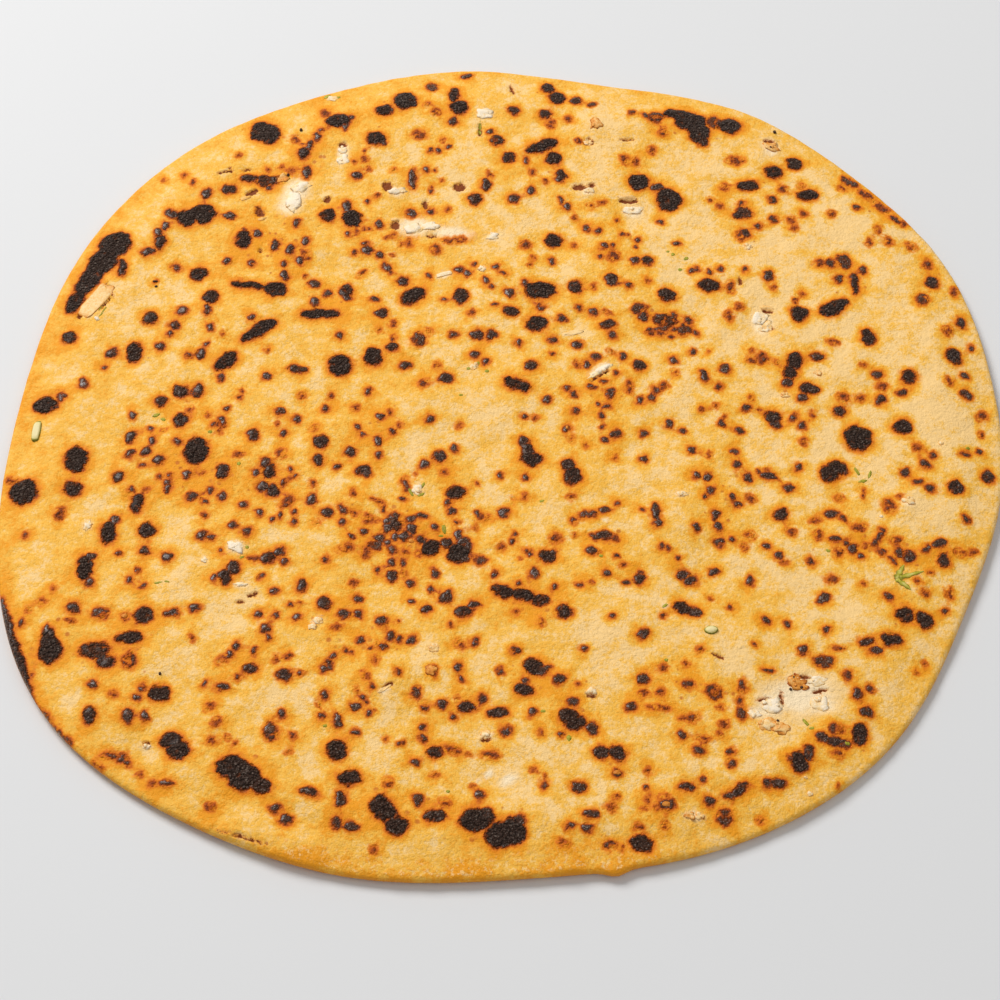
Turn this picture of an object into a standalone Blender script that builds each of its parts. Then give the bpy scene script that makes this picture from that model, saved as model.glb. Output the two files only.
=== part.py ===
"""Gobi paratha: one round griddled flatbread, rolled thin round a grated cauliflower filling.

It lies flat on its underside, +Z up, with the origin under the middle of its outline.
"""

import math

import bmesh
import bpy
from mathutils import Matrix, Vector, noise

MM = 0.001

# Driving sizes of the rolled bread
MEAN_RADIUS = 126.3 * MM
BODY_THICKNESS = 4.3 * MM
RIM_THICKNESS = 2.6 * MM
RIM_SLOPE = 15.0 * MM  # the band over which the body thins out to the rim
RIM_LIFT = 0.9 * MM  # how far the highest stretch of the rim curls off the surface
MEAN_LIFT_SHARE = 0.45
FLAT_SHARE = 0.80  # share of the radius that lies flat

# Waves of the hand-rolled outline: how many go round, height, and the angle of a crest
OUTLINE_WAVES = (
    (1, 1.8 * MM, -167.0),
    (2, 2.8 * MM, 33.0),
    (3, 1.2 * MM, -5.0),
    (4, 2.7 * MM, 40.0),
    (5, 0.7 * MM, 8.0),
    (7, 0.7 * MM, 1.0),
    (9, 0.35 * MM, -20.0),
    (10, 0.3 * MM, -9.0),
    (11, 0.35 * MM, -6.0),
)
# The same for the curl of the rim, as shares of RIM_LIFT
RIM_LIFT_WAVES = ((2, 0.30, 200.0), (3, 0.16, 25.0), (5, 0.10, 290.0))

# Relief of the top: noise length, height and a seed offset
TOP_WAVES = (
    (46.0 * MM, 0.75 * MM, 3.0),
    (19.0 * MM, 0.50 * MM, 11.0),
    (9.0 * MM, 0.34 * MM, 23.0),
)

# Places where the skin has sunk or torn over the filling: x, y, reach, depth
HOLLOWS = (
    (68 * MM, -79 * MM, 9 * MM, 1.1 * MM),
    (-28 * MM, 69 * MM, 9 * MM, 0.8 * MM),
    (34 * MM, 72 * MM, 7 * MM, 0.7 * MM),
    (-50 * MM, 48 * MM, 5 * MM, 0.8 * MM),
    (64 * MM, 34 * MM, 5 * MM, 0.7 * MM),
    (-81 * MM, -92 * MM, 6 * MM, 0.8 * MM),
    (1 * MM, -98 * MM, 7 * MM, 0.6 * MM),
)
# Places where steam has lifted the skin, or filling pushes it up: x, y, reach, height
SWELLINGS = (
    (43 * MM, -27 * MM, 9 * MM, 0.9 * MM),
    (-28 * MM, -74 * MM, 8 * MM, 0.8 * MM),
    (38 * MM, -106 * MM, 8 * MM, 0.6 * MM),
    (99 * MM, -22 * MM, 5 * MM, 0.7 * MM),
    (22 * MM, 101 * MM, 5 * MM, 0.8 * MM),
)
# The folded lip at the near left: angles of its ends, how far in it lies, height of lip and groove
LIP_START = -121.0
LIP_END = -107.0
LIP_INSET = 4.0 * MM
GROOVE_INSET = 10.0 * MM
LIP_HEIGHT = 0.8 * MM
GROOVE_DEPTH = 0.7 * MM
LIP_REACH = 3.2 * MM

# The largest scorched blisters: x, y, length, width, and the turn of the length from +X
BLISTERS = (
    (-108, 44, 20, 6, 62), (-70, 96, 9, 8, 0), (-31, 109, 7, 6, 0), (47, 103, 15, 9, -12),
    (60, 102, 7, 6, 0), (7, 93, 9, 4, 25), (42, 75, 8, 7, 0), (8, 42, 9, 6, -15),
    (76, 36, 6, 5, 0), (85, 39, 8, 4, 35), (73, 18, 5, 9, 0), (77, 12, 6, 4, 0),
    (88, -3, 8, 7, 0), (81, -13, 7, 6, 0), (6, -11, 6, 5, 0), (16, -15, 5, 8, 0),
    (-50, 33, 10, 4, 0), (-65, 27, 10, 4, -30), (-73, 16, 7, 5, -35), (-44, 16, 7, 7, 0),
    (-116, 2, 6, 5, 0), (-78, -11, 6, 8, 0), (-107, -15, 6, 7, 0), (-117, -25, 6, 7, 0),
    (-60, -22, 7, 5, 0), (-86, 65, 12, 6, 0), (-106, -67, 6, 9, 0), (-94, -70, 9, 7, 0),
    (-88, -65, 7, 4, 0), (-97, -36, 5, 7, 0), (-101, -46, 5, 7, 0), (-57, -42, 6, 5, 0),
    (-27, -32, 12, 9, 0), (-15, -39, 9, 5, -20), (-75, -93, 7, 7, 0), (-60, -99, 10, 7, 0),
    (-36, -97, 7, 6, -50), (-26, -108, 6, 7, 30), (-5, -109, 8, 5, 0), (2, -112, 7, 6, 0),
    (4, -51, 12, 4, -12), (84, -35, 6, 5, 0), (97, -37, 6, 4, 0), (104, -34, 6, 4, 20),
    (68, -93, 6, 6, 0), (77, -87, 8, 3, 20), (62, -99, 6, 3, 20), (16, -84, 6, 5, 0),
    (25, -92, 8, 4, 0), (44, -54, 6, 5, 0), (91, -60, 6, 4, 0), (32, -114, 5, 4, 0),
)
BLISTER_HEIGHT = 0.45 * MM
BLISTER_SINK = 0.35 * MM

# Cauliflower that shows where the skin has torn: x, y, length, width, height, turn
FLORETS = (
    (-107.0, 34.0, 9.5, 4.0, 1.6, 40), (-60.0, 75.0, 4.6, 3.6, 1.3, 10),
    (-8.5, 106.0, 5.0, 4.0, 1.2, -25), (63.5, -78.0, 5.0, 3.6, 2.0, 20),
    (72.0, -75.5, 4.2, 3.4, 1.9, 70), (75.5, -78.5, 4.0, 2.8, 1.5, -20),
    (68.0, -82.5, 4.4, 3.2, 1.8, 45), (63.0, -84.0, 3.6, 3.0, 1.4, 0),
    (-27.0, 71.5, 4.2, 3.0, 1.3, 30), (-49.5, 48.0, 3.4, 2.6, 1.2, 0),
    (37.0, 73.5, 4.8, 2.6, 1.3, -10), (-81.0, -92.0, 3.2, 2.6, 1.2, 50),
)
# Stretched shreds of dough: x, y, length, turn
SHREDS = ((-1.0, -97.0, 8.0, 65), (2.5, -99.0, 7.0, 80), (23.0, 16.0, 9.0, 12), (40.0, -107.0, 7.0, -8))
SHRED_WIDTH = 1.3 * MM
SHRED_HEIGHT = 0.9 * MM
FLORET_SINK_SHARE = 0.15  # how deep a piece sits, as a share of its height
SMALL_SINK_SHARE = 0.1

# Coriander: the three-pronged leaf, and a slice of stalk
LEAF_PLACE = (97 * MM, -43 * MM)
LEAF_LENGTH = 7.0 * MM
LEAF_THICKNESS = 0.5 * MM
LEAF_TURN = 160.0
LEAF_STEPS = 20
LEAF_BODY_SHARE = 0.16  # half width between the prongs, as a share of the length
PRONG_SHARE = 0.42  # how much further the middle prong reaches
PRONG_LEAN = 66.0  # angle from the middle prong to a side one
SIDE_PRONG_SHARE = 0.85
PRONG_SHARPNESS = 6
STALK_PLACE = (-118.5 * MM, -5.5 * MM)
STALK_LENGTH = 6.0 * MM
STALK_WIDTH = 1.8 * MM
STALK_TURN = 70.0
SEED_PLACE = (49 * MM, -59 * MM)
SEED_SIZE = (3.0 * MM, 2.0 * MM, 1.0 * MM)
SEED_TURN = 35.0

# How finely it is faceted: rings of points on top and underside, steps round the edge of the rim
TOP_RINGS = 26
UNDER_RINGS = TOP_RINGS // 2
UNDER_REACH = 0.93  # the outermost of the underside's rings, as a share of the radius
RIM_STEPS = 4
SIDES = 6
LUMP_NOISE = 3.1


def smooth(share):
    share = min(max(share, 0.0), 1.0)
    return share * share * (3.0 - 2.0 * share)


def wave_sum(waves, angle):
    return sum(height * math.cos(count * (angle - math.radians(crest))) for count, height, crest in waves)


def rim_radius(angle):
    return MEAN_RADIUS + wave_sum(OUTLINE_WAVES, angle)


def rim_lift(angle, reach):
    """How far the bread has left the surface, reach being the share of the way out to the rim."""
    height = RIM_LIFT * (MEAN_LIFT_SHARE + wave_sum(RIM_LIFT_WAVES, angle))
    return max(height, 0.0) * smooth((reach - FLAT_SHARE) / (1.0 - FLAT_SHARE))


def mound(x, y, place_x, place_y, reach, height):
    away = ((x - place_x) ** 2 + (y - place_y) ** 2) / reach**2
    return height * math.exp(-away)


def lip_height(angle, inset):
    """The folded lip and the groove behind it, fading out at its two ends."""
    start = math.radians(LIP_START)
    end = math.radians(LIP_END)
    along = (angle - start) / (end - start)
    fade = smooth(along * 4.0) * smooth((1.0 - along) * 4.0)
    lip = LIP_HEIGHT * math.exp(-(((inset - LIP_INSET) / LIP_REACH) ** 2))
    groove = GROOVE_DEPTH * math.exp(-(((inset - GROOVE_INSET) / LIP_REACH) ** 2))
    return fade * (lip - groove)


def top_height(x, y):
    """Height of the upper skin over the surface that the bread lies on."""
    angle = math.atan2(y, x)
    out = math.hypot(x, y)
    radius = rim_radius(angle)
    inset = max(radius - out, 0.0)
    body = smooth(inset / RIM_SLOPE)
    height = RIM_THICKNESS + (BODY_THICKNESS - RIM_THICKNESS) * body
    for length, size, offset in TOP_WAVES:
        height += size * (0.4 + 0.6 * body) * noise.noise(Vector((x / length, y / length, offset)))
    for place_x, place_y, reach, size in SWELLINGS:
        height += mound(x, y, place_x, place_y, reach, size)
    for place_x, place_y, reach, size in HOLLOWS:
        height -= mound(x, y, place_x, place_y, reach, size)
    return height + lip_height(angle, inset) + rim_lift(angle, out / radius)


def ring_points(mesh, count, place):
    """One closed ring of points, place(angle) giving each one."""
    return [mesh.verts.new(place(math.tau * step / count)) for step in range(count)]


def join_rings(mesh, upper, lower):
    """A band of triangles between two closed rings of as many points."""
    for index, point in enumerate(upper):
        after = (index + 1) % len(upper)
        mesh.faces.new((point, lower[index], upper[after]))
        mesh.faces.new((upper[after], lower[index], lower[after]))


def fill_six_sided(mesh, rings, upwards):
    """Triangles between rings of 0, 6, 12, 18... points, as in a six-sided lattice."""
    for size in range(1, len(rings)):
        outer = rings[size]
        inner = rings[size - 1]
        for side in range(SIDES):
            for step in range(size):
                a = outer[(side * size + step) % len(outer)]
                b = outer[(side * size + step + 1) % len(outer)]
                c = inner[(side * (size - 1) + step) % len(inner)]
                mesh.faces.new((a, b, c) if upwards else (b, a, c))
                if step < size - 1:
                    d = inner[(side * (size - 1) + step + 1) % len(inner)]
                    mesh.faces.new((b, d, c) if upwards else (d, b, c))


def rim_point(angle, turn):
    """A point of the rounded rim, turn going from the top edge (90 degrees) to the bottom edge (-90)."""
    radius = rim_radius(angle)
    half = RIM_THICKNESS / 2.0
    edge = radius - half
    top = top_height(edge * math.cos(angle), edge * math.sin(angle))
    bottom = rim_lift(angle, edge / radius)
    middle = (top + bottom) / 2.0
    out = edge + half * math.cos(turn)
    return Vector(
        (
            out * math.cos(angle),
            out * math.sin(angle),
            middle + (top - bottom) / 2.0 * math.sin(turn),
        )
    )


def bread_mesh():
    """The bread without what is stuck to it: top, rounded rim and underside."""
    mesh = bmesh.new()
    half = RIM_THICKNESS / 2.0

    def top_place(ring):
        def place(angle):
            out = (rim_radius(angle) - half) * ring / TOP_RINGS
            x = out * math.cos(angle)
            y = out * math.sin(angle)
            return Vector((x, y, top_height(x, y)))

        return place

    def under_place(ring):
        def place(angle):
            share = UNDER_REACH * ring / UNDER_RINGS
            out = rim_radius(angle) * share
            return Vector((out * math.cos(angle), out * math.sin(angle), rim_lift(angle, share)))

        return place

    top = [[mesh.verts.new((0.0, 0.0, top_height(0.0, 0.0)))]]
    for ring in range(1, TOP_RINGS + 1):
        top.append(ring_points(mesh, SIDES * ring, top_place(ring)))
    fill_six_sided(mesh, top, True)

    upper = top[-1]
    for step in range(1, RIM_STEPS + 1):
        turn = math.radians(90.0 - 180.0 * step / RIM_STEPS)
        lower = ring_points(mesh, SIDES * TOP_RINGS, lambda angle: rim_point(angle, turn))
        join_rings(mesh, upper, lower)
        upper = lower

    under = [[mesh.verts.new((0.0, 0.0, 0.0))]]
    for ring in range(1, UNDER_RINGS + 1):
        under.append(ring_points(mesh, SIDES * ring, under_place(ring)))
    fill_six_sided(mesh, under, False)
    coarse = under[-1]
    for index, point in enumerate(coarse):
        after = coarse[(index + 1) % len(coarse)]
        first = upper[2 * index]
        between = upper[2 * index + 1]
        last = upper[(2 * index + 2) % len(upper)]
        mesh.faces.new((first, point, between))
        mesh.faces.new((between, point, after))
        mesh.faces.new((between, after, last))
    return mesh


def lump_mesh(length, width, height, detail, roughness, seed):
    """An uneven lump of about these sizes, centred on its own middle."""
    mesh = bmesh.new()
    bmesh.ops.create_icosphere(mesh, subdivisions=detail, radius=0.5)
    for point in mesh.verts:
        push = 1.0 + roughness * noise.noise(point.co * LUMP_NOISE + Vector((seed, 0.0, 0.0)))
        point.co = Vector((point.co.x * length, point.co.y * width, point.co.z * height)) * push
    return mesh


def leaf_reach(angle):
    """Distance from the leaf's middle to its edge: one long prong and two that lean to its sides."""
    prong = max(math.cos(angle), 0.0) ** PRONG_SHARPNESS
    for lean in (-math.radians(PRONG_LEAN), math.radians(PRONG_LEAN)):
        side_prong = SIDE_PRONG_SHARE * max(math.cos(angle - lean), 0.0) ** PRONG_SHARPNESS
        prong = max(prong, side_prong)
    return LEAF_LENGTH * (LEAF_BODY_SHARE + PRONG_SHARE * prong)


def leaf_mesh():
    """A thin wavy leaf with three prongs, both faces split into triangles alike."""
    mesh = bmesh.new()
    edges = []
    for side in (1.0, -1.0):
        lift = side * LEAF_THICKNESS / 2.0
        rings = []
        for share in (0.5, 1.0):
            ring = []
            for step in range(LEAF_STEPS):
                angle = math.tau * step / LEAF_STEPS
                out = share * leaf_reach(angle)
                wave = 0.12 * LEAF_THICKNESS * math.sin(5.0 * angle)
                ring.append(mesh.verts.new((out * math.cos(angle), out * math.sin(angle), lift + wave)))
            rings.append(ring)
        middle = mesh.verts.new((0.0, 0.0, lift))
        for index in range(LEAF_STEPS):
            after = (index + 1) % LEAF_STEPS
            fan = (middle, rings[0][index], rings[0][after])
            inner = (rings[0][index], rings[1][index], rings[1][after])
            outer = (rings[0][index], rings[1][after], rings[0][after])
            for corners in (fan, inner, outer):
                mesh.faces.new(corners if side > 0 else corners[::-1])
        edges.append(rings[1])
    join_rings(mesh, *edges)
    return mesh


def plain_object(name, mesh, collection):
    data = bpy.data.meshes.new(name)
    mesh.to_mesh(data)
    mesh.free()
    obj = bpy.data.objects.new(name, data)
    collection.objects.link(obj)
    return obj


def lay_on_top(mesh, x, y, turn, sink):
    """Moves a small mesh onto the skin at x, y, tilted with it and sunk in by sink."""
    step = 2.0 * MM
    slope_x = (top_height(x + step, y) - top_height(x - step, y)) / (2.0 * step)
    slope_y = (top_height(x, y + step) - top_height(x, y - step)) / (2.0 * step)
    normal = Vector((-slope_x, -slope_y, 1.0)).normalized()
    tilt = Vector((0.0, 0.0, 1.0)).rotation_difference(normal).to_matrix().to_4x4()
    place = Matrix.Translation((x, y, top_height(x, y) - sink))
    turned = Matrix.Rotation(math.radians(turn), 4, "Z")
    bmesh.ops.transform(mesh, matrix=place @ tilt @ turned, verts=mesh.verts)


def stick_lump(collection, name, place, size, turn, sink, roughness, detail):
    """Adds one lump of about this length, width and height, sunk into the skin by sink."""
    seed = float(len(collection.objects))
    mesh = lump_mesh(*size, detail, roughness, seed)
    lay_on_top(mesh, *place, turn, sink)
    plain_object(name, mesh, collection)


def small_pieces(collection):
    """What is stuck to the bread: scorched blisters, cauliflower, shreds, coriander and a seed."""
    for index, (x, y, length, width, turn) in enumerate(BLISTERS):
        size = (length * MM, width * MM, 2.0 * (BLISTER_HEIGHT + BLISTER_SINK))
        stick_lump(collection, f"blister_{index}", (x * MM, y * MM), size, turn, BLISTER_SINK, 0.25, 2)
    for index, (x, y, length, width, height, turn) in enumerate(FLORETS):
        size = (length * MM, width * MM, height * MM)
        sink = FLORET_SINK_SHARE * size[2]
        stick_lump(collection, f"floret_{index}", (x * MM, y * MM), size, turn, sink, 0.5, 2)
    for index, (x, y, length, turn) in enumerate(SHREDS):
        size = (length * MM, SHRED_WIDTH, SHRED_HEIGHT)
        sink = SMALL_SINK_SHARE * SHRED_HEIGHT
        stick_lump(collection, f"shred_{index}", (x * MM, y * MM), size, turn, sink, 0.3, 1)
    stalk_size = (STALK_LENGTH, STALK_WIDTH, STALK_WIDTH)
    sink = SMALL_SINK_SHARE * STALK_WIDTH
    stick_lump(collection, "stalk", STALK_PLACE, stalk_size, STALK_TURN, sink, 0.1, 1)
    sink = SMALL_SINK_SHARE * SEED_SIZE[2]
    stick_lump(collection, "seed", SEED_PLACE, SEED_SIZE, SEED_TURN, sink, 0.1, 1)
    leaf = leaf_mesh()
    lay_on_top(leaf, *LEAF_PLACE, LEAF_TURN, SMALL_SINK_SHARE * LEAF_THICKNESS)
    plain_object("leaf", leaf, collection)


def join_all(bread, collection):
    """Unites the bread with everything in the collection, and removes the collection."""
    union = bread.modifiers.new("unite", "BOOLEAN")
    union.operation = "UNION"
    union.solver = "EXACT"
    union.operand_type = "COLLECTION"
    union.collection = collection
    graph = bpy.context.evaluated_depsgraph_get()
    united = bpy.data.meshes.new_from_object(bread.evaluated_get(graph))
    bread.modifiers.clear()
    bread.data = united
    for obj in list(collection.objects):
        bpy.data.objects.remove(obj)
    bpy.data.collections.remove(collection)


def centre_outline(mesh):
    """Puts the origin under the middle of the outline."""
    middle = [(min(side) + max(side)) / 2.0 for side in zip(*(point.co for point in mesh.vertices))]
    mesh.transform(Matrix.Translation((-middle[0], -middle[1], 0.0)))


def dough_material():
    material = bpy.data.materials.new("griddled dough")
    material.use_nodes = True
    shader = material.node_tree.nodes["Principled BSDF"]
    shader.inputs["Base Color"].default_value = (0.80, 0.50, 0.20, 1.0)
    shader.inputs["Roughness"].default_value = 0.55
    shader.inputs["Metallic"].default_value = 0.0
    return material


for old in list(bpy.data.objects):
    bpy.data.objects.remove(old)

stuck_on = bpy.data.collections.new("stuck on")
bpy.context.scene.collection.children.link(stuck_on)
paratha = plain_object("paratha", bread_mesh(), bpy.context.scene.collection)
small_pieces(stuck_on)
join_all(paratha, stuck_on)
centre_outline(paratha.data)
paratha.data.materials.clear()
paratha.data.materials.append(dough_material())
paratha.data.shade_smooth()
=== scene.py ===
"""The looks of a gobi paratha: a thin griddled flatbread, filled with grated cauliflower and coriander."""

import math
import random

import bmesh
import bpy
import numpy as np
from mathutils import Matrix, Vector, noise
from mathutils.bvhtree import BVHTree


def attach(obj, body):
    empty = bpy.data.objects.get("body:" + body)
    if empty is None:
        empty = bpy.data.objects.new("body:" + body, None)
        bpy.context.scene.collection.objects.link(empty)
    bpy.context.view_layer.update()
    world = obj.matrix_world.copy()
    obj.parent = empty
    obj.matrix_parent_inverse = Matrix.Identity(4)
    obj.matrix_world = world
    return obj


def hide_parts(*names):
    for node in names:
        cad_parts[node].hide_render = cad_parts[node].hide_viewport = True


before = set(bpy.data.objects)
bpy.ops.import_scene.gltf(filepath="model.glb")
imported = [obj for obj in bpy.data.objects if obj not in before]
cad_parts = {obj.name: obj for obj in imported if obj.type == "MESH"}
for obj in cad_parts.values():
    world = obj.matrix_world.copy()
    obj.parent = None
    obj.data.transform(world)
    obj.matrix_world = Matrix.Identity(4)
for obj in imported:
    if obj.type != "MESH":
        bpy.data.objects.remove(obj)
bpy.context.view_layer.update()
MM = 0.001

# Camera, floor and studio light
# The camera looks down on the bread from the near side, through a long lens, the horizon a little tilted. The
# light is large and soft and comes from the upper left, over the far side of the bread.
PHOTO_PIXELS = 1000
SENSOR = 36.0
LENS = 73.8
CAMERA_PLACE = Vector((-1.7, -297.5, 429.2)) * MM
LOOK_DOWN = math.radians(57.22)
HORIZON_TILT = math.radians(1.354)
FLOOR_REACH = 3.0
FLOOR_GREY = 0.74
FLOOR_ROUGHNESS = 0.7
KEY_PLACE = Vector((-0.80, 0.90, 1.20))
KEY_SIZE = 0.80
KEY_POWER = 24.0
FILL_PLACE = Vector((0.50, -0.30, 0.95))
FILL_SIZE = 0.9
FILL_POWER = 1.2
SKY_STRENGTH = 0.37

looking = Vector((0.0, math.cos(LOOK_DOWN), -math.sin(LOOK_DOWN)))
level = Vector((1.0, 0.0, 0.0))
upright = level.cross(looking)
right = math.cos(HORIZON_TILT) * level + math.sin(HORIZON_TILT) * upright
up = math.cos(HORIZON_TILT) * upright - math.sin(HORIZON_TILT) * level
turned = Matrix((right, up, -looking)).transposed()

camera_data = bpy.data.cameras.new("camera")
camera_data.lens = LENS
camera_data.sensor_width = SENSOR
camera = bpy.data.objects.new("camera", camera_data)
camera.matrix_world = Matrix.Translation(CAMERA_PLACE) @ turned.to_4x4()
bpy.context.scene.collection.objects.link(camera)
bpy.context.scene.camera = camera


def on_bread(column, row, height):
    """The x and y, at that height, of what the photo shows at that pixel."""
    focal = LENS / SENSOR * PHOTO_PIXELS
    across = (column - PHOTO_PIXELS / 2) / focal
    down = (row - PHOTO_PIXELS / 2) / focal
    ray = looking + across * right - down * up
    point = CAMERA_PLACE + ray * (height - CAMERA_PLACE.z) / ray.z
    return point.x, point.y


def linear(red, green, blue):
    """A colour as a screen shows it, 0 to 255, as the light that it stands for."""
    shares = [value / 255.0 for value in (red, green, blue)]
    return [s / 12.92 if s <= 0.04045 else ((s + 0.055) / 1.055) ** 2.4 for s in shares] + [1.0]


def soft_box(name, place, size, power):
    light = bpy.data.lights.new(name, "AREA")
    light.shape = "DISK"
    light.size = size
    light.energy = power
    box = bpy.data.objects.new(name, light)
    box.matrix_world = Matrix.Translation(place) @ place.to_track_quat("Z", "Y").to_matrix().to_4x4()
    bpy.context.scene.collection.objects.link(box)


soft_box("key light", KEY_PLACE, KEY_SIZE, KEY_POWER)
soft_box("fill light", FILL_PLACE, FILL_SIZE, FILL_POWER)
sky = bpy.data.worlds.new("studio")
sky.use_nodes = True
sky.node_tree.nodes["Background"].inputs["Color"].default_value = (1.0, 1.0, 1.0, 1.0)
sky.node_tree.nodes["Background"].inputs["Strength"].default_value = SKY_STRENGTH
bpy.context.scene.world = sky
bpy.context.scene.view_settings.view_transform = "Standard"

floor_mesh = bpy.data.meshes.new("floor")
corners = [(x * FLOOR_REACH, y * FLOOR_REACH, 0.0) for x, y in ((-1, -1), (1, -1), (1, 1), (-1, 1))]
floor_mesh.from_pydata(corners, [], [(0, 1, 2, 3)])
floor_paint = bpy.data.materials.new("floor")
floor_paint.use_nodes = True
floor_shader = floor_paint.node_tree.nodes["Principled BSDF"]
floor_shader.inputs["Base Color"].default_value = (FLOOR_GREY, FLOOR_GREY, FLOOR_GREY, 1.0)
floor_shader.inputs["Roughness"].default_value = FLOOR_ROUGHNESS
floor_mesh.materials.append(floor_paint)
floor = bpy.data.objects.new("floor", floor_mesh)
bpy.context.scene.collection.objects.link(floor)

# The rolled dough: its form
# Skin and filling rolled out together by hand into a thin, slightly square round. The outline and the heights
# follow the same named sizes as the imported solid, with the finer relief of the baked skin on top of them.
MEAN_RADIUS = 126.3 * MM
BODY_THICKNESS = 4.3 * MM
RIM_THICKNESS = 2.6 * MM
RIM_SLOPE = 15.0 * MM
RIM_LIFT = 0.9 * MM
MEAN_LIFT_SHARE = 0.45
FLAT_SHARE = 0.80
OUTLINE_WAVES = (
    (1, 1.8 * MM, -167.0),
    (2, 2.8 * MM, 33.0),
    (3, 1.2 * MM, -5.0),
    (4, 2.7 * MM, 40.0),
    (5, 0.7 * MM, 8.0),
    (7, 0.7 * MM, 1.0),
    (9, 0.35 * MM, -20.0),
    (10, 0.3 * MM, -9.0),
    (11, 0.35 * MM, -6.0),
)
RIM_LIFT_WAVES = ((2, 0.30, 200.0), (3, 0.16, 25.0), (5, 0.10, 290.0))
# Relief of the top: noise length, height and a seed offset, and the share of it that is left at the rim
TOP_WAVES = (
    (46.0 * MM, 0.75 * MM, 3.0),
    (19.0 * MM, 0.50 * MM, 11.0),
    (9.0 * MM, 0.34 * MM, 23.0),
)
RIM_RELIEF = 0.4
# Where the skin has sunk or torn over the filling, and where it swells: x, y, reach, and depth or height
HOLLOWS = (
    (68 * MM, -79 * MM, 9 * MM, 1.1 * MM),
    (-28 * MM, 69 * MM, 9 * MM, 0.8 * MM),
    (34 * MM, 72 * MM, 7 * MM, 0.7 * MM),
    (-50 * MM, 48 * MM, 5 * MM, 0.8 * MM),
    (64 * MM, 34 * MM, 5 * MM, 0.7 * MM),
    (-81 * MM, -92 * MM, 6 * MM, 0.8 * MM),
    (1 * MM, -98 * MM, 7 * MM, 0.6 * MM),
)
SWELLINGS = (
    (43 * MM, -27 * MM, 9 * MM, 0.9 * MM),
    (-28 * MM, -74 * MM, 8 * MM, 0.8 * MM),
    (38 * MM, -106 * MM, 8 * MM, 0.6 * MM),
    (99 * MM, -22 * MM, 5 * MM, 0.7 * MM),
    (22 * MM, 101 * MM, 5 * MM, 0.8 * MM),
)
# The folded lip at the near left: angles of its ends, how far in it lies, height of lip and groove
LIP_START = -121.0
LIP_END = -107.0
LIP_INSET = 4.0 * MM
GROOVE_INSET = 10.0 * MM
LIP_HEIGHT = 0.8 * MM
GROOVE_DEPTH = 0.7 * MM
LIP_REACH = 3.2 * MM
LIP_FADE = 0.25
# The torn tip that sticks out of the near rim: its angle, how wide and how far out
TIP_ANGLE = -77.6
TIP_WIDTH = 1.3
TIP_REACH = 1.3 * MM
# Fine relief of the skin: noise length, height and a seed offset
SKIN_WAVES = ((4.6 * MM, 0.24 * MM, 31.0), (2.1 * MM, 0.10 * MM, 37.0))
# The grainy band of the near rim: angles of its ends, width, how much warmer it is, grain length and height
GRAINY_START = -118.0
GRAINY_END = -66.0
GRAINY_WIDTH = 9.0 * MM
GRAINY_FADE = 0.15
GRAINY_WARMTH = 0.34
GRAINY_WAVES = ((1.6 * MM, 0.26 * MM, 43.0), (3.1 * MM, 0.22 * MM, 47.0))
# The rim is warmer in colour, most of all at its far left
RIM_WARMTH = 0.11
RIM_WARMTH_MORE = 0.10
WARM_RIM_ANGLE = 145.0
WARM_RIM_WIDTH = 8.0 * MM
# The left half is warmer than the right
WARM_LEFT = 0.11
# The underside is pressed flat by the griddle, and dimpled a little
UNDER_WAVES = ((17.0 * MM, 0.22 * MM, 53.0), (5.0 * MM, 0.12 * MM, 59.0))
# Rings of points on the top and the underside, and steps round the rim's edge
TOP_RINGS = 76
UNDER_RINGS = 42
RIM_STEPS = 6
SIDES = 6
OUTLINE_STEPS = 1440


def smooth(share):
    share = np.clip(share, 0.0, 1.0)
    return share * share * (3.0 - 2.0 * share)


def wave_sum(waves, angle):
    return sum(height * np.cos(count * (angle - math.radians(crest))) for count, height, crest in waves)


def rim_radius(angle):
    tip = TIP_REACH * np.exp(-((np.degrees(angle) - TIP_ANGLE) / TIP_WIDTH) ** 2)
    return MEAN_RADIUS + wave_sum(OUTLINE_WAVES, angle) + tip


def rim_lift(angle, reach):
    """How far the bread has left the surface, reach being the share of the way out to the rim."""
    height = RIM_LIFT * (MEAN_LIFT_SHARE + wave_sum(RIM_LIFT_WAVES, angle))
    return np.maximum(height, 0.0) * smooth((reach - FLAT_SHARE) / (1.0 - FLAT_SHARE))


def uneven(x, y, length, offset):
    """Smooth noise between about -1 and 1 at each x, y."""
    return np.array([noise.noise(Vector((a / length, b / length, offset))) for a, b in zip(x, y)])


def between(angle, start, end, edge):
    """1 between two angles in degrees, fading out over the share edge at each end."""
    along = (angle - math.radians(start)) / math.radians(end - start)
    return smooth(along / edge) * smooth((1.0 - along) / edge)


def top_height(x, y):
    """Height of the upper skin, without its fine relief."""
    angle = np.arctan2(y, x)
    out = np.hypot(x, y)
    radius = rim_radius(angle)
    inset = np.maximum(radius - out, 0.0)
    body = smooth(inset / RIM_SLOPE)
    height = RIM_THICKNESS + (BODY_THICKNESS - RIM_THICKNESS) * body
    for length, size, offset in TOP_WAVES:
        height = height + size * (RIM_RELIEF + (1.0 - RIM_RELIEF) * body) * uneven(x, y, length, offset)
    for places, sign in ((SWELLINGS, 1.0), (HOLLOWS, -1.0)):
        for place_x, place_y, reach, size in places:
            away = ((x - place_x) ** 2 + (y - place_y) ** 2) / reach**2
            height = height + sign * size * np.exp(-away)
    lip = LIP_HEIGHT * np.exp(-(((inset - LIP_INSET) / LIP_REACH) ** 2))
    groove = GROOVE_DEPTH * np.exp(-(((inset - GROOVE_INSET) / LIP_REACH) ** 2))
    height = height + between(angle, LIP_START, LIP_END, LIP_FADE) * (lip - groove)
    return height + rim_lift(angle, out / radius)


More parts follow.
